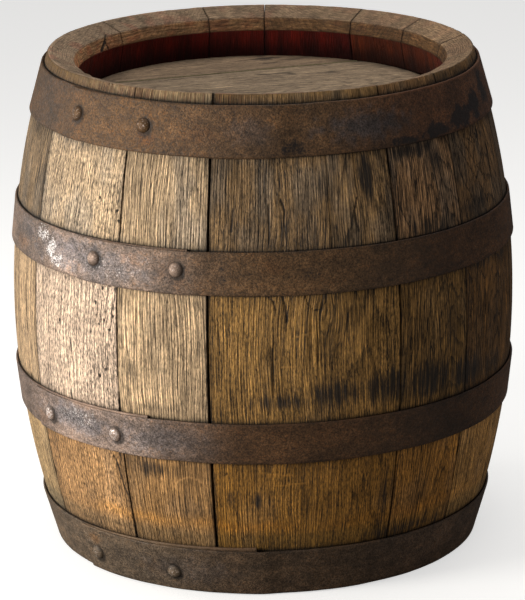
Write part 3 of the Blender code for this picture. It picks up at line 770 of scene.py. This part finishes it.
def wine_tone(grid):
    """The wall above the head, soaked with wine and black towards the head."""
    brown = smooth(150, 148, grid.degree) * smooth(90, 110, grid.degree)
    wine = blended(linear(106, 17, 3), brown[..., None], linear(100, 38, 7))
    drip = 1 + 0.7 * fractal(grid.local / (9 * MM), grid.z / (40 * MM), grid.seed + 22, 4)
    black = smooth(HEAD_TOP + 18 * MM, HEAD_TOP + 2 * MM, grid.z)
    return wine * (np.clip(drip, 0.25, 2) * (1 - 0.65 * black))[..., None]


def rim_tone(grid, tone):
    """The narrow band of wood above the top hoop, with painted shade on its left."""
    degree, local, z, seed = grid.degree, grid.local, grid.z, grid.seed
    left = smooth(-25, -60, degree) * (degree > -130)
    streaky = smooth(-0.1, 0.5, noise(local / (1.3 * MM), z * 0, seed + 23))
    rusty = streaky * smooth(-62, -40, degree) * smooth(2, -14, degree)
    band = blended(tone, 0.7 * left[..., None], linear(146, 110, 62))
    band = blended(band, 0.5 * rusty[..., None], linear(128, 78, 54))
    # Brightness round the band: partly its own tone and partly painted shade, darkest on the left.
    shade = np.interp(degree, (-60, -20, 0, 20, 40, 60, 80, 120),
                      (0.66, 0.76, 1.18, 1.38, 1.2, 1.2, 1.7, 0.8))
    shade = shade * (0.72 + 0.30 * fractal(local / (3 * MM), z / (3 * MM), seed + 24, 3))
    return band * shade[..., None] * np.array([1.02, 0.98, 0.85])


def stave_wear(grid):
    """How dark each place is soaked, and how far it is worn."""
    degree, z, seed = grid.degree, grid.z, grid.seed
    stain = stain_field(degree, z, grid.local) * grid.outside
    paler = smooth(171 * MM, 165 * MM, z) * (z > 155 * MM) * (np.abs(degree - 12) < 40)
    stain = stain * (1 - 0.45 * paler)
    stain = np.maximum.reduce([stain, 1.6 * grid.bored, 1.2 * grid.split, 0.85 * grid.opened])
    rubbed = smooth(0.2, 0.8, noise(z / (25 * MM), grid.side, seed + 13)) * (grid.to_edge < 1.6 * MM)
    rim = np.exp(-np.abs(grid.radius - END_RADIUS + 1.2 * MM) / (1.2 * MM)) * (z > HEIGHT - 3 * MM)
    chipped = smooth(0.6, 1.4, grid.broken) * (grid.to_edge < 3 * MM)
    worn = np.maximum(0.35 * rubbed, 0.6 * chipped) * grid.outside
    return {"stain": stain, "worn": np.maximum.reduce([worn, 0.8 * rim, 0.90 * grid.scratched])}


def build_stave(name, material):
    grid = stave_grid(name)
    round_edges(grid)
    cut_marks(grid)
    attributes = {**stave_grain(grid), **stave_wear(grid), "tone": stave_tone(grid)}
    columns, rows = grid.z.shape
    return mesh_object(f"{name}_oak", stave_points(grid), tube_faces(rows, columns), material, attributes)


# ---------------------------------------------------------------- hoops and rivets

STRIP_THICK = 2.0 * MM
LAP_GAP = 0.3 * MM
LAP_RELIEF_DEG = 1.0
LAP_RAMP_DEG = 6.5
HOOP_CLEARANCE = 0.5 * MM

# Iron colours on the left of each hoop, at the front, and on the right.
# Over the iron's own colour, the left ones hold a painted sheen and the right ones painted shade.
HOOP_TONES_WITH_PAINTED_LIGHT = {
    "top_chime": ((84, 58, 29), (94, 69, 45), (87, 57, 37)),
    "top_bilge": ((132, 112, 98), (100, 74, 48), (73, 49, 30)),
    "bottom_bilge": ((146, 126, 113), (84, 59, 37), (67, 45, 28)),
    "bottom_chime": ((99, 84, 68), (84, 67, 51), (84, 67, 54)),
}
# Slow changes of brightness round the front of the hoops: angles, then factors.
# Partly the iron's own tone, partly painted light and shade, with a painted glint near -50 on top_bilge.
HOOP_PAINTED_LIGHT_AND_TONE = {
    "top_chime": ((-100, -70, -50, -36, -20, 40, 60, 90), (1, 0.55, 0.90, 1.13, 1, 0.95, 0.85, 1)),
    "top_bilge": ((-100, -70, -60, -50, -40, -20, -8, 30, 45, 75, 90),
                  (1, 0.5, 0.65, 1.4, 1, 0.8, 1, 0.92, 0.7, 1.2, 1)),
    "bottom_bilge": ((-100, -70, -48, -36, -22, 0, 30, 45, 60, 75, 90),
                     (1, 0.45, 1.1, 1.05, 0.80, 1.05, 1.0, 0.56, 0.95, 1.7, 1)),
    "bottom_chime": ((0,), (1,)),
}
# Black tar on the hoops: angle, height, half sizes along and across in mm, strength.
TAR = {
    "top_chime": ((8, 388, 16, 7, 0.7), (37, 384, 22, 5, 1.1), (47, 387, 24, 8, 1.2),
                  (57, 391, 22, 10, 1.3), (66, 396, 18, 13, 1.3), (75, 402, 16, 16, 1.2)),
    "top_bilge": ((-9, 292, 4, 3, 0.7), (-9, 284, 5, 4, 0.6), (10, 286, 14, 8, 0.35)),
    "bottom_bilge": ((-49, 146, 26, 10, 0.45), (-41, 140, 14, 8, 0.40), (6, 138, 12, 4, 0.30)),
    "bottom_chime": ((-38, 24, 30, 12, 0.30), (-12, 16, 26, 8, 0.30), (6, 12, 16, 7, 0.35)),
}
# Polished iron, partly real and partly a painted glint, orange rust, and blue-grey iron: the same layout.
BARE_AND_GLINT = {
    "top_chime": (),
    "top_bilge": ((-58, 296, 17, 9, 0.85), (-55, 289, 9, 14, 0.95), (-52.5, 280, 13, 8, 0.85),
                  (-36, 284, 44, 14, 0.30)),
    "bottom_bilge": ((-45, 148, 34, 12, 0.55), (-24, 142, 40, 14, 0.15)),
    "bottom_chime": ((-50, 30, 20, 10, 0.2),),
}
RUST = {
    "top_chime": ((-28, 391, 12, 6, 0.8), (-14, 398, 20, 8, 0.4)),
    "top_bilge": ((-70, 280, 16, 6, 0.8), (-44, 280, 8, 6, 0.55), (-30, 293, 14, 7, 0.35),
                  (-20, 286, 14, 12, 0.5), (2, 294, 12, 8, 0.35)),
    "bottom_bilge": ((-60, 134, 14, 9, 0.4),),
    "bottom_chime": ((-48, 33, 13, 6, 0.9), (-30, 20, 16, 8, 0.35)),
}
SLATE = {
    "top_chime": ((-3, 402, 26, 12, 0.5), (26, 401, 54, 14, 1.0)),
    "top_bilge": ((-42, 287, 80, 18, 0.8), (-66, 294, 30, 10, 0.6)),
    "bottom_bilge": ((-48, 146, 50, 14, 0.9), (-24, 142, 50, 14, 0.6)),
    "bottom_chime": ((-20, 22, 60, 14, 0.4),),
}
# How brightly the strip's upper edge is worn on the lap.
LAP_WEAR = {"top_chime": 0.15, "top_bilge": 0.15, "bottom_bilge": 0.30, "bottom_chime": 0.65}


def hoop_line(low, high, z):
    """Radius of the hoop's inner face at z: a cone laid on the staves."""
    share = (z - low) / (high - low)
    return outer_radius(low) * (1 - share) + outer_radius(high) * share + HOOP_CLEARANCE


def hoop_slope(low, high):
    """How fast the hoop widens upwards, and its length along the cone over its height."""
    slope = (outer_radius(high) - outer_radius(low)) / (high - low)
    return slope, sqrt(1 + slope ** 2)


def patches(places, degree, z, seed):
    """The strongest of the given patches at each point, with ragged edges."""
    found = np.zeros_like(degree)
    ragged = 0.60 * fractal(np.radians(degree) * BILGE_RADIUS / (5 * MM), z / (5 * MM), seed, 4)
    for middle, height, wide, tall, strength in places:
        x = np.radians(signed_degrees(degree - middle)) * BILGE_RADIUS / (wide * MM)
        y = (z - height * MM) / (tall * MM)
        found = np.maximum(found, strength * smooth(1.2, 0.3, np.sqrt(x * x + y * y) + ragged))
    return found


def rivet_places(hoop):
    """Where each rivet's head sits on the lap, with its turn round the barrel and its upward lean."""
    low, high = (edge * MM for edge in hoop["edges"])
    slope, run = hoop_slope(low, high)
    height = (low + high) / 2 - hoop["rivet_drop"] * MM
    stack = (STRIP_THICK + LAP_GAP) / run + STRIP_THICK
    climb = atan2(-slope, 1.0)
    radius = hoop_line(low, high, height)
    for degree in hoop["rivets"]:
        turn = radians(degree)
        outwards = Vector((sin(turn) * cos(climb), -cos(turn) * cos(climb), sin(climb)))
        foot = Vector((radius * sin(turn), -radius * cos(turn), height))
        yield foot + outwards * stack, turn, climb


def strip_outline(span):
    """The strip's section with rolled edges: height on the strip, and distance out from its back."""
    half = STRIP_THICK / 2
    lower = [(half * 0.75 * (1 - cos(a)), half + half * sin(a)) for a in np.linspace(-pi / 2, pi / 2, 6)]
    outer = [(step, STRIP_THICK) for step in np.linspace(0.75 * MM, span - 0.75 * MM, 26)[1:-1]]
    upper = [(span - height, out) for height, out in reversed(lower)]
    back = [(span * share, 0.0) for share in (0.75, 0.5, 0.25)]
    return np.array(lower + outer + upper + back).T


def hoop_grid(hoop, seed):
    """The hoop's grid of places, with columns along the strip and rows round its section."""
    low, high = (edge * MM for edge in hoop["edges"])
    outer_end, inner_end = hoop["ends"]
    heights, outs = strip_outline(high - low)
    stations = np.unique(np.concatenate([
        np.arange(outer_end, inner_end + 360.0, 0.45), [outer_end, inner_end, inner_end + 360.0],
    ]).round(5))
    degree, v = np.meshgrid(stations, heights, indexing="ij")
    turn = np.radians(degree)
    return SimpleNamespace(
        low=low, high=high, span=high - low, outer_end=outer_end, inner_end=inner_end, seed=seed,
        degree=degree, folded=signed_degrees(degree), turn=turn, distance=turn * BILGE_RADIUS,
        v=v, out=np.broadcast_to(outs, v.shape), to_edge=np.minimum(v, high - low - v),
    )


def hoop_points(grid, skew):
    """One strip from its outer end, round the barrel and under itself, rippled and pitted."""
    v, distance, seed = grid.v, grid.distance, grid.seed
    slope, run = hoop_slope(grid.low, grid.high)
    onto_stave = smooth(0.0, 1.0, (grid.degree - grid.inner_end - LAP_RELIEF_DEG) / LAP_RAMP_DEG)
    lift = (STRIP_THICK + LAP_GAP) * (1 - onto_stave)
    under = np.clip((grid.degree - grid.outer_end - 360.0) / (grid.inner_end - grid.outer_end), 0, 1)
    lower_ripple = fractal(distance / (38 * MM), v * 0, seed, 3)
    upper_ripple = fractal(distance / (31 * MM), v * 0 + 5, seed + 1, 3)
    ripple = 0.35 * MM * np.where(v < grid.span / 2, lower_ripple, upper_ripple)
    z = grid.low + skew * MM * under + v + ripple * (np.abs(v / grid.span - 0.5) * 2) ** 3
    buckle = 0.15 * MM * (0.5 + 0.5 * fractal(distance / (46 * MM), v / (30 * MM), seed + 2, 3))
    pitted = 0.07 * MM * fractal(distance / (3.0 * MM), v / (3.0 * MM), seed + 3, 3)
    out = grid.out + buckle
    radius = hoop_line(grid.low, grid.high, z) + lift + out * run
    radius = radius + np.where(grid.out > STRIP_THICK * 0.9, pitted, 0)
    grid.z = np.maximum(z - slope * out / run * 0.9, 0.2 * MM)
    return np.stack([radius * np.sin(grid.turn), -radius * np.cos(grid.turn), grid.z], axis=-1)


def hoop_tone(grid, key):
    folded, v, seed = grid.folded, grid.v, grid.seed
    left = smooth(-4, -34, folded) * smooth(-150, -100, folded)
    right = smooth(12, 46, folded) * smooth(175, 140, folded)
    left_tone, front_tone, right_tone = (linear(*colour) for colour in HOOP_TONES_WITH_PAINTED_LIGHT[key])
    tone = blended(blended(front_tone, left[..., None], left_tone), right[..., None], right_tone)
    tone = tone * (1 + 0.22 * fractal(grid.distance / (50 * MM), v / (25 * MM), seed + 4, 3))[..., None]
    rust = patches(RUST[key], grid.degree, grid.low + v, seed + 8)[..., None]
    slate = patches(SLATE[key], grid.degree, grid.low + v, seed + 9)[..., None]
    grey = tone.mean(axis=-1, keepdims=True) * np.array([0.84, 0.82, 0.90])
    tone = blended(tone, slate * 0.7, grey) * (1 + rust * np.array([0.34, 0.06, -0.22]))
    # Painted light and shade round the front, mixed with the iron's own tone.
    tone = tone * np.interp(folded, *HOOP_PAINTED_LIGHT_AND_TONE[key])[..., None]
    # Painted shadow of each rivet's dome on the lap, to its right and below it.
    rivet_shadow = np.zeros_like(v)
    for place, turn, _ in rivet_places(HOOPS[key]):
        away = np.hypot((grid.turn - turn) * BILGE_RADIUS - 1.8 * MM, grid.z - place.z + 0.9 * MM)
        rivet_shadow = np.maximum(rivet_shadow, smooth(9.8 * MM, 6.6 * MM, away))
    on_lap = grid.degree < grid.inner_end
    dark_edge = 1 - 0.35 * np.exp(-grid.to_edge / (1.5 * MM))
    return tone * (dark_edge * (1 - 0.78 * rivet_shadow * on_lap))[..., None]


def hoop_wear(grid, key):
    """How bright the strip's edges are rubbed, and the painted highlight on the top hoop's upper edge."""
    v, folded, span = grid.v, grid.folded, grid.span
    rubbed = smooth(0.1, 0.6, noise(grid.distance / (17 * MM), v * 0, grid.seed + 5))
    rubbed = rubbed * np.exp(-grid.to_edge / (0.5 * MM)) * 0.5
    # Painted highlight along the top hoop's upper edge on the right.
    upper_edge_highlight = smooth(10, 30, folded) * smooth(100, 70, folded) * (key == "top_chime")
    upper_edge_highlight = upper_edge_highlight * smooth(span - 1.3 * MM, span - 0.6 * MM, v)
    lap_edge = (grid.degree > grid.outer_end + 361) * smooth(span - 2.6 * MM, span - 1.2 * MM, v)
    return np.maximum.reduce([rubbed, 0.55 * upper_edge_highlight, LAP_WEAR[key] * lap_edge])


def build_hoop(key, hoop, material, seed):
    grid = hoop_grid(hoop, seed)
    points = hoop_points(grid, hoop["skew"])
    attributes = {
        "grain": np.stack([grid.distance, grid.z, grid.out + 3.0 * seed * MM], axis=-1),
        "tone": hoop_tone(grid, key),
        "stain": patches(TAR[key], grid.degree, grid.z, seed + 6),
        "bare_and_glint": patches(BARE_AND_GLINT[key], grid.degree, grid.z, seed + 7),
        "worn": hoop_wear(grid, key),
    }
    columns, rows = grid.v.shape
    return mesh_object(f"hoop_{key}_iron", points, tube_faces(rows, columns), material, attributes)


def build_rivet(name, key, place, turn, climb, material, seed):
    """A hammered dome, slightly out of round, with its shank."""
    radius, height = 6.5 * MM, 3.6 * MM
    dome = (radius ** 2 + height ** 2) / 2 / height
    leans = np.linspace(0.06, np.arccos((dome - height) / dome), 12)
    profile = [(dome * sin(a), height - dome * (1 - cos(a))) for a in leans]
    profile += [(radius * 1.01, 0.1 * MM), (radius * 0.98, -0.1 * MM)]
    profile += [(3.0 * MM, -0.1 * MM), (3.0 * MM, -4.0 * MM)]
    sides = 40
    angles = np.linspace(0, 2 * pi, sides, endpoint=False)
    rng = np.random.default_rng(seed)
    lobes = 1 + 0.03 * np.cos(angles - rng.uniform(0, 6)) + 0.02 * np.cos(2 * angles - rng.uniform(0, 6))
    points = turned_points(profile, sides)
    points[:, :2] *= np.tile(lobes, len(profile))[:, None]
    for ring in points.reshape(len(profile), sides, 3):
        dent = 0.1 * MM * np.maximum(0, np.cos(angles - rng.uniform(0, 6)))
        ring[:, 2] -= dent * (ring[0, 2] > 1.5 * MM)
    rotation = np.array(Euler((pi / 2 - climb, 0, turn)).to_matrix())
    # Brighter towards the crown, worn polish and a painted highlight, and darker at the foot, painted
    # shade.
    polish_and_shade = smooth(0.4 * MM, 2.6 * MM, points[:, 2])
    attributes = {
        "grain": points + 0.1 * seed,
        "tone": linear(*HOOP_TONES_WITH_PAINTED_LIGHT[key][0]) * (0.40 + 0.85 * polish_and_shade)[:, None],
        "stain": 0.2 * (1 - polish_and_shade), "bare_and_glint": polish_and_shade * (0.7 if key == "bottom_bilge" else 0.35), "worn": 0.0,
    }
    faces = tube_faces(sides, len(profile))
    return mesh_object(name, points @ rotation.T + np.array(place), faces, material, attributes)


# ---------------------------------------------------------------- heads

HEAD_TURN = radians(20.0)
BEVEL_RADIUS = 155.0 * MM
TONGUE_RADIUS = 169.3 * MM
TONGUE_THICK = 7.0 * MM
HEAD_THICK = HEAD_TOP - HEAD_BOTTOM


def board_span(name):
    """A head board's two long edges, as distances from the middle of the head across its grain."""
    points = node_points(name)
    across = -points[:, 0] * sin(HEAD_TURN) + points[:, 1] * cos(HEAD_TURN)
    return across.min(), across.max()


def board_depths(index, x, y, to_edge, seed):
    """Depths of a board's outer and inner faces below the head's outer plane."""
    beyond = (np.hypot(x, y) - BEVEL_RADIUS) / (TONGUE_RADIUS - BEVEL_RADIUS)
    bevel = (HEAD_THICK - TONGUE_THICK) / 2 * np.clip(beyond, 0, 1)
    rounding = (1.4 + 0.5 * noise(x / (25 * MM), index, seed + 1)) * MM
    inset = np.clip(1 - to_edge / rounding, 0, 1)
    sunk = rounding * (1 - np.sqrt(1 - inset ** 2)) * 0.8
    wave = 0.35 * fractal(y / (35 * MM), x / (120 * MM), seed + 2, 2)
    grain = 0.16 * fractal(y / (3.0 * MM), x / (50 * MM), seed + 3, 3)
    check = 0.5 * smooth(0.40, 0.60, fractal(y / (6 * MM), x / (90 * MM), seed + 4, 2))
    outer = bevel + sunk - (wave + grain - check - 0.35) * MM
    return np.maximum(outer, 0.02 * MM), HEAD_THICK - bevel


def board_tone(index, x, y, to_edge, behind, seed):
    """A board's colour from its own place, and painted light and shade from how far behind the axis it is.
    """
    base = linear(160, 138, 112) if index in (2, 3) else linear(152, 128, 102)
    tone = base * (1 + 0.25 * fractal(y / (24 * MM), x / (70 * MM), seed + 5, 4))[..., None]
    # Painted shadow of the wall on the head, round its rim.
    near_wall = np.hypot(x, y) + 4 * MM * noise(x / (15 * MM), y / (15 * MM), 7)
    wall_shadow = smooth(TONGUE_RADIUS - 34 * MM, TONGUE_RADIUS - 10 * MM, near_wall)
    # Painted light towards the back of the head, and painted shade, yellower, towards the front.
    lit = 1 + 0.14 * smooth(-20 * MM, 70 * MM, behind) - 0.12 * smooth(-40 * MM, -110 * MM, behind)
    tone = tone * (lit * (1 - 0.6 * wall_shadow - 0.75 * np.exp(-to_edge / (1.5 * MM))))[..., None]
    return tone * (1 - smooth(-20 * MM, -110 * MM, behind)[..., None] * np.array([0.0, 0.06, 0.22]))


def build_board(name, top_head, material):
    """One head board as a grid between its long edges and the round of the head."""
    low, high = board_span(name)
    index = int(name[-1])
    seed = 3000 + 100 * index + (0 if top_head else 50)
    across = stepped(low, high, 1.5 * MM, (0.4 * MM, 0.9 * MM, 1.6 * MM))
    limit = TONGUE_RADIUS - 0.2 * MM
    across = across[np.abs(across) < limit]
    half = np.sqrt(np.maximum(limit ** 2 - across ** 2, (2 * MM) ** 2))
    x = np.sin(np.linspace(-pi / 2, pi / 2, 190))[:, None] * half
    y = np.broadcast_to(across, x.shape)
    # The first and last boards have one long edge each; the round of the head is the other.
    to_edge = np.minimum(y - low if index != 1 else np.inf, high - y if index != 4 else np.inf)
    outer, inner = board_depths(index, x, y, to_edge, seed)

    # Each column's outline: across the outer face, then back across the inner face.
    depth = np.concatenate([outer, inner[:, ::-1]], axis=1)
    x, y, to_edge = (np.concatenate([side, side[:, ::-1]], axis=1) for side in (x, y, to_edge))
    plane, down = (HEAD_TOP, -1) if top_head else (HEIGHT - HEAD_TOP, 1)
    behind = x * sin(HEAD_TURN) + y * cos(HEAD_TURN)
    points = np.stack([x * cos(HEAD_TURN) - y * sin(HEAD_TURN), behind, plane + down * depth], axis=-1)
    blots = smooth(0.30, 0.62, fractal(x / (26 * MM), y / (14 * MM), seed + 6, 4)) * 0.75
    ring_across = y - 0.02 * (index - 2.5) + 5 * MM * fractal(x / (80 * MM), y / (50 * MM), seed + 7, 2)
    attributes = {
        "grain": np.stack([y + 0.3 * index, x + 0.7 * index, depth], axis=-1),
        "tone": board_tone(index, x, y, to_edge, behind, seed),
        "ring": np.hypot(ring_across, 0.03 + 0.12 * x + depth) / (3.0 * MM),
        "stain": blots * 0.65, "worn": 0.0, "short": 0.35, "vivid": 1.0,
    }
    columns, rows = x.shape
    return mesh_object(f"{name}_oak", points, tube_faces(rows, columns, top_head), material, attributes)


# ---------------------------------------------------------------- bung

BUNG_GAP = 0.4 * MM
BUNG_SIDES = 72
BUNG_EDGE = 2.0 * MM


def bung_form():
    """The bung's place and size from its CAD: turn round the barrel, axis, ends, height, radii."""
    points = node_points("bung")
    axis = frame["joints"][0]["axis"]
    turn = atan2(axis[0], -axis[1])
    outwards = np.array([sin(turn), -cos(turn), 0.0])
    reach = points @ outwards
    foot, proud = reach.min(), reach.max()
    height = (points[:, 2].min() + points[:, 2].max()) / 2
    side = np.linalg.norm(points - np.outer(reach, outwards) - [0, 0, height], axis=1)
    return SimpleNamespace(
        turn=turn, outwards=outwards, foot=foot, height=height, length=proud - foot,
        foot_radius=side[reach < foot + 3 * MM].max(), head_radius=side[reach > proud - 3 * MM].max(),
    )


def turned_object(name, profile, form, points, material, attributes):
    """Points turned round +Z, laid on the bung's axis with their foot at the bung's."""
    rotation = np.array(Euler((pi / 2, 0, form.turn)).to_matrix())
    placed = points @ rotation.T + form.outwards * form.foot + np.array([0, 0, form.height])
    return mesh_object(name, placed, tube_faces(BUNG_SIDES, len(profile)), material, attributes)


def build_bung(material):
    """A turned tapered plug, rounded at both ends, on the hole's axis."""
    form = bung_form()
    length, head, foot = form.length, form.head_radius, form.foot_radius
    profile = [(0.4 * MM, length - 0.05 * MM), (head * 0.6, length - 0.1 * MM)]
    profile += [
        (head - BUNG_EDGE * (1 - sin(a)), length - BUNG_EDGE * (1 - cos(a)))
        for a in np.linspace(0, pi / 2, 6)
    ]
    profile += [
        (head + (foot - head) * share, length - BUNG_EDGE - (length - 2 * BUNG_EDGE) * share)
        for share in np.linspace(0.05, 1, 20)
    ]
    profile += [
        (foot - BUNG_EDGE * (1 - cos(a)), BUNG_EDGE * (1 - sin(a))) for a in np.linspace(0.1, pi / 2, 5)
    ]
    profile += [(0.4 * MM, 0.0)]
    points = turned_points(profile, BUNG_SIDES)
    points[:, :2] *= (1 + 0.006 * fractal(points[:, 2] / (3 * MM), points[:, 0] * 0, 5, 2))[:, None]
    x, y, along = points.T
    inside = smooth(length - 12 * MM, length - 20 * MM, along)
    attributes = {
        "grain": points[:, [0, 2, 1]],
        "tone": linear(168, 132, 86) * (1 - 0.35 * inside)[:, None],
        "ring": np.hypot(x + 0.03, y + 0.01) / (2.6 * MM),
        "stain": 0.35 * smooth(16 * MM, 2 * MM, along), "worn": 0.0, "short": 0.6, "vivid": 1.0,
    }
    return turned_object("bung_turned", profile, form, points, material, attributes)


def bore_bung_hole(stave, material):
    """Cuts the bung's tapered hole through its stave, with a dark wall."""
    form = bung_form()
    taper = (form.head_radius - form.foot_radius) / (form.length - 2 * BUNG_EDGE)
    steps = np.linspace(form.length + 15 * MM, -15 * MM, 60)
    profile = [(form.foot_radius + BUNG_GAP + taper * (step - BUNG_EDGE), step) for step in steps]
    points = turned_points(profile, BUNG_SIDES)
    attributes = {
        "grain": points[:, [0, 2, 1]], "tone": np.tile(linear(92, 58, 38), (len(points), 1)),
        "ring": points[:, 0] / (3.0 * MM), "stain": 0.3 * smooth(26 * MM, 6 * MM, points[:, 2]),
        "worn": 0.0, "short": 0.6, "vivid": 0.7,
    }
    cutter = turned_object("bung_hole_cutter", profile, form, points, material, attributes)
    bore = stave.modifiers.new("bung_hole", "BOOLEAN")
    bore.operation = "DIFFERENCE"
    bore.solver = "EXACT"
    bore.object = cutter
    solid = stave.evaluated_get(bpy.context.evaluated_depsgraph_get())
    stave.modifiers.clear()
    stave.data = bpy.data.meshes.new_from_object(solid)
    stave.data.set_sharp_from_angle(angle=EDGE_ANGLE)
    bpy.data.objects.remove(cutter)


# ---------------------------------------------------------------- stage, light and camera


def build_floor():
    bpy.ops.mesh.primitive_plane_add(size=30.0, location=(0, 0, -0.2 * MM))
    floor = bpy.context.object
    floor.name = "floor"
    nodes = Nodes("pale_floor")
    seen = nodes.add("LightPath", {}, "Is Camera Ray")
    colour = nodes.mix(seen, (0.22, 0.21, 0.20), (0.62, 0.62, 0.61))
    nodes.finish(colour, 0.9, specular=0.1)
    nodes.feed(nodes.shader.inputs["Emission Color"], (1.0, 0.995, 0.985))
    nodes.feed(nodes.shader.inputs["Emission Strength"], seen * 0.62)
    floor.data.materials.append(nodes.material)


def add_area_light(name, place, target, size, power, colour):
    light = bpy.data.lights.new(name, "AREA")
    light.shape = "RECTANGLE"
    light.size, light.size_y = size
    light.energy = power
    light.color = colour
    lamp = bpy.data.objects.new(name, light)
    lamp.location = place
    aim = Vector(target) - Vector(place)
    lamp.rotation_euler = aim.to_track_quat("-Z", "Y").to_euler()
    lamp.visible_camera = False
    bpy.context.scene.collection.objects.link(lamp)


def build_lights():
    add_area_light("key", (-1.05, -0.62, 0.42), (-0.08, -0.05, 0.20), (0.45, 0.55), 15.0, (1.0, 0.96, 0.90))
    add_area_light("edge", (-1.2, 0.55, 0.45), (-0.1, 0.0, 0.24), (0.3, 0.8), 5.0, (1.0, 0.97, 0.93))
    add_area_light("top", (0.05, 0.15, 1.9), (0.0, 0.0, 0.4), (1.5, 1.5), 15.0, (1.0, 0.98, 0.95))
    add_area_light("low_fill", (0.95, -0.75, 0.06), (0.1, -0.05, 0.10), (0.5, 0.12), 1.2, (1.0, 0.90, 0.76))
    world = bpy.data.worlds.new("studio")
    world.use_nodes = True
    world.node_tree.nodes["Background"].inputs["Color"].default_value = (0.95, 0.94, 0.96, 1.0)
    world.node_tree.nodes["Background"].inputs["Strength"].default_value = 0.16
    bpy.context.scene.world = world


def build_camera():
    camera = bpy.data.cameras.new("camera")
    camera.sensor_fit = "VERTICAL"
    camera.sensor_height = 36.0
    camera.lens = 204.0
    camera.clip_end = 100.0
    camera.shift_x = -0.0017
    eye = bpy.data.objects.new("camera", camera)
    eye.location = (0.0, -2.8592, 1.0417)
    down, roll = radians(16.34), radians(-0.724)
    aim = Euler((pi / 2 - down, 0, 0)).to_matrix() @ Matrix.Rotation(roll, 3, "Z")
    eye.rotation_euler = aim.to_euler()
    bpy.context.scene.collection.objects.link(eye)
    bpy.context.scene.camera = eye


# ---------------------------------------------------------------- build


def replace(piece, node, body):
    """Puts a piece on its body, in the place of its CAD node."""
    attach(piece, body)
    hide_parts(node)


def main():
    oak = oak_material("oak_weathered")
    head_oak = oak_material("oak_head_grey", streak=0.8, relief=0.9)
    iron = iron_material("hoop_iron")
    rivet_iron = iron_material("rivet_iron", relief=0.35, speckle=0.5)
    bung_turn = bung_form().turn
    for name in STAVES:
        stave = build_stave(name, oak)
        first, last = stave_span(name)
        if first < bung_turn < last:
            bore_bung_hole(stave, oak)
        replace(stave, name, "cask")
    for i, (key, hoop) in enumerate(HOOPS.items()):
        replace(build_hoop(key, hoop, iron, 500 + 40 * i), f"hoop_{key}", "cask")
        for j, (place, turn, climb) in enumerate(rivet_places(hoop)):
            name = f"rivet_{key}_{j + 1}"
            rivet = build_rivet(f"{name}_dome", key, place, turn, climb, rivet_iron, 10 * i + j)
            replace(rivet, name, "cask")
    for head in ("top", "bottom"):
        for number in (1, 2, 3, 4):
            name = f"{head}_head_board_{number}"
            replace(build_board(name, head == "top", head_oak), name, "cask")
    replace(build_bung(oak), "bung", "bung")

    dowel = plain_wood_material("dowel_oak", (0.42, 0.30, 0.17), (0.20, 0.12, 0.06))
    rush = plain_wood_material("rush_dry", (0.30, 0.26, 0.13), (0.12, 0.10, 0.05), across=900.0)
    for name, node in frame["nodes"].items():
        if "dowel" in name or "rush" in name:
            for slot in node.material_slots:
                slot.material = dowel if "dowel" in name else rush
    build_floor()
    build_lights()
    build_camera()
    bpy.context.scene.view_settings.view_transform = "Standard"


main()
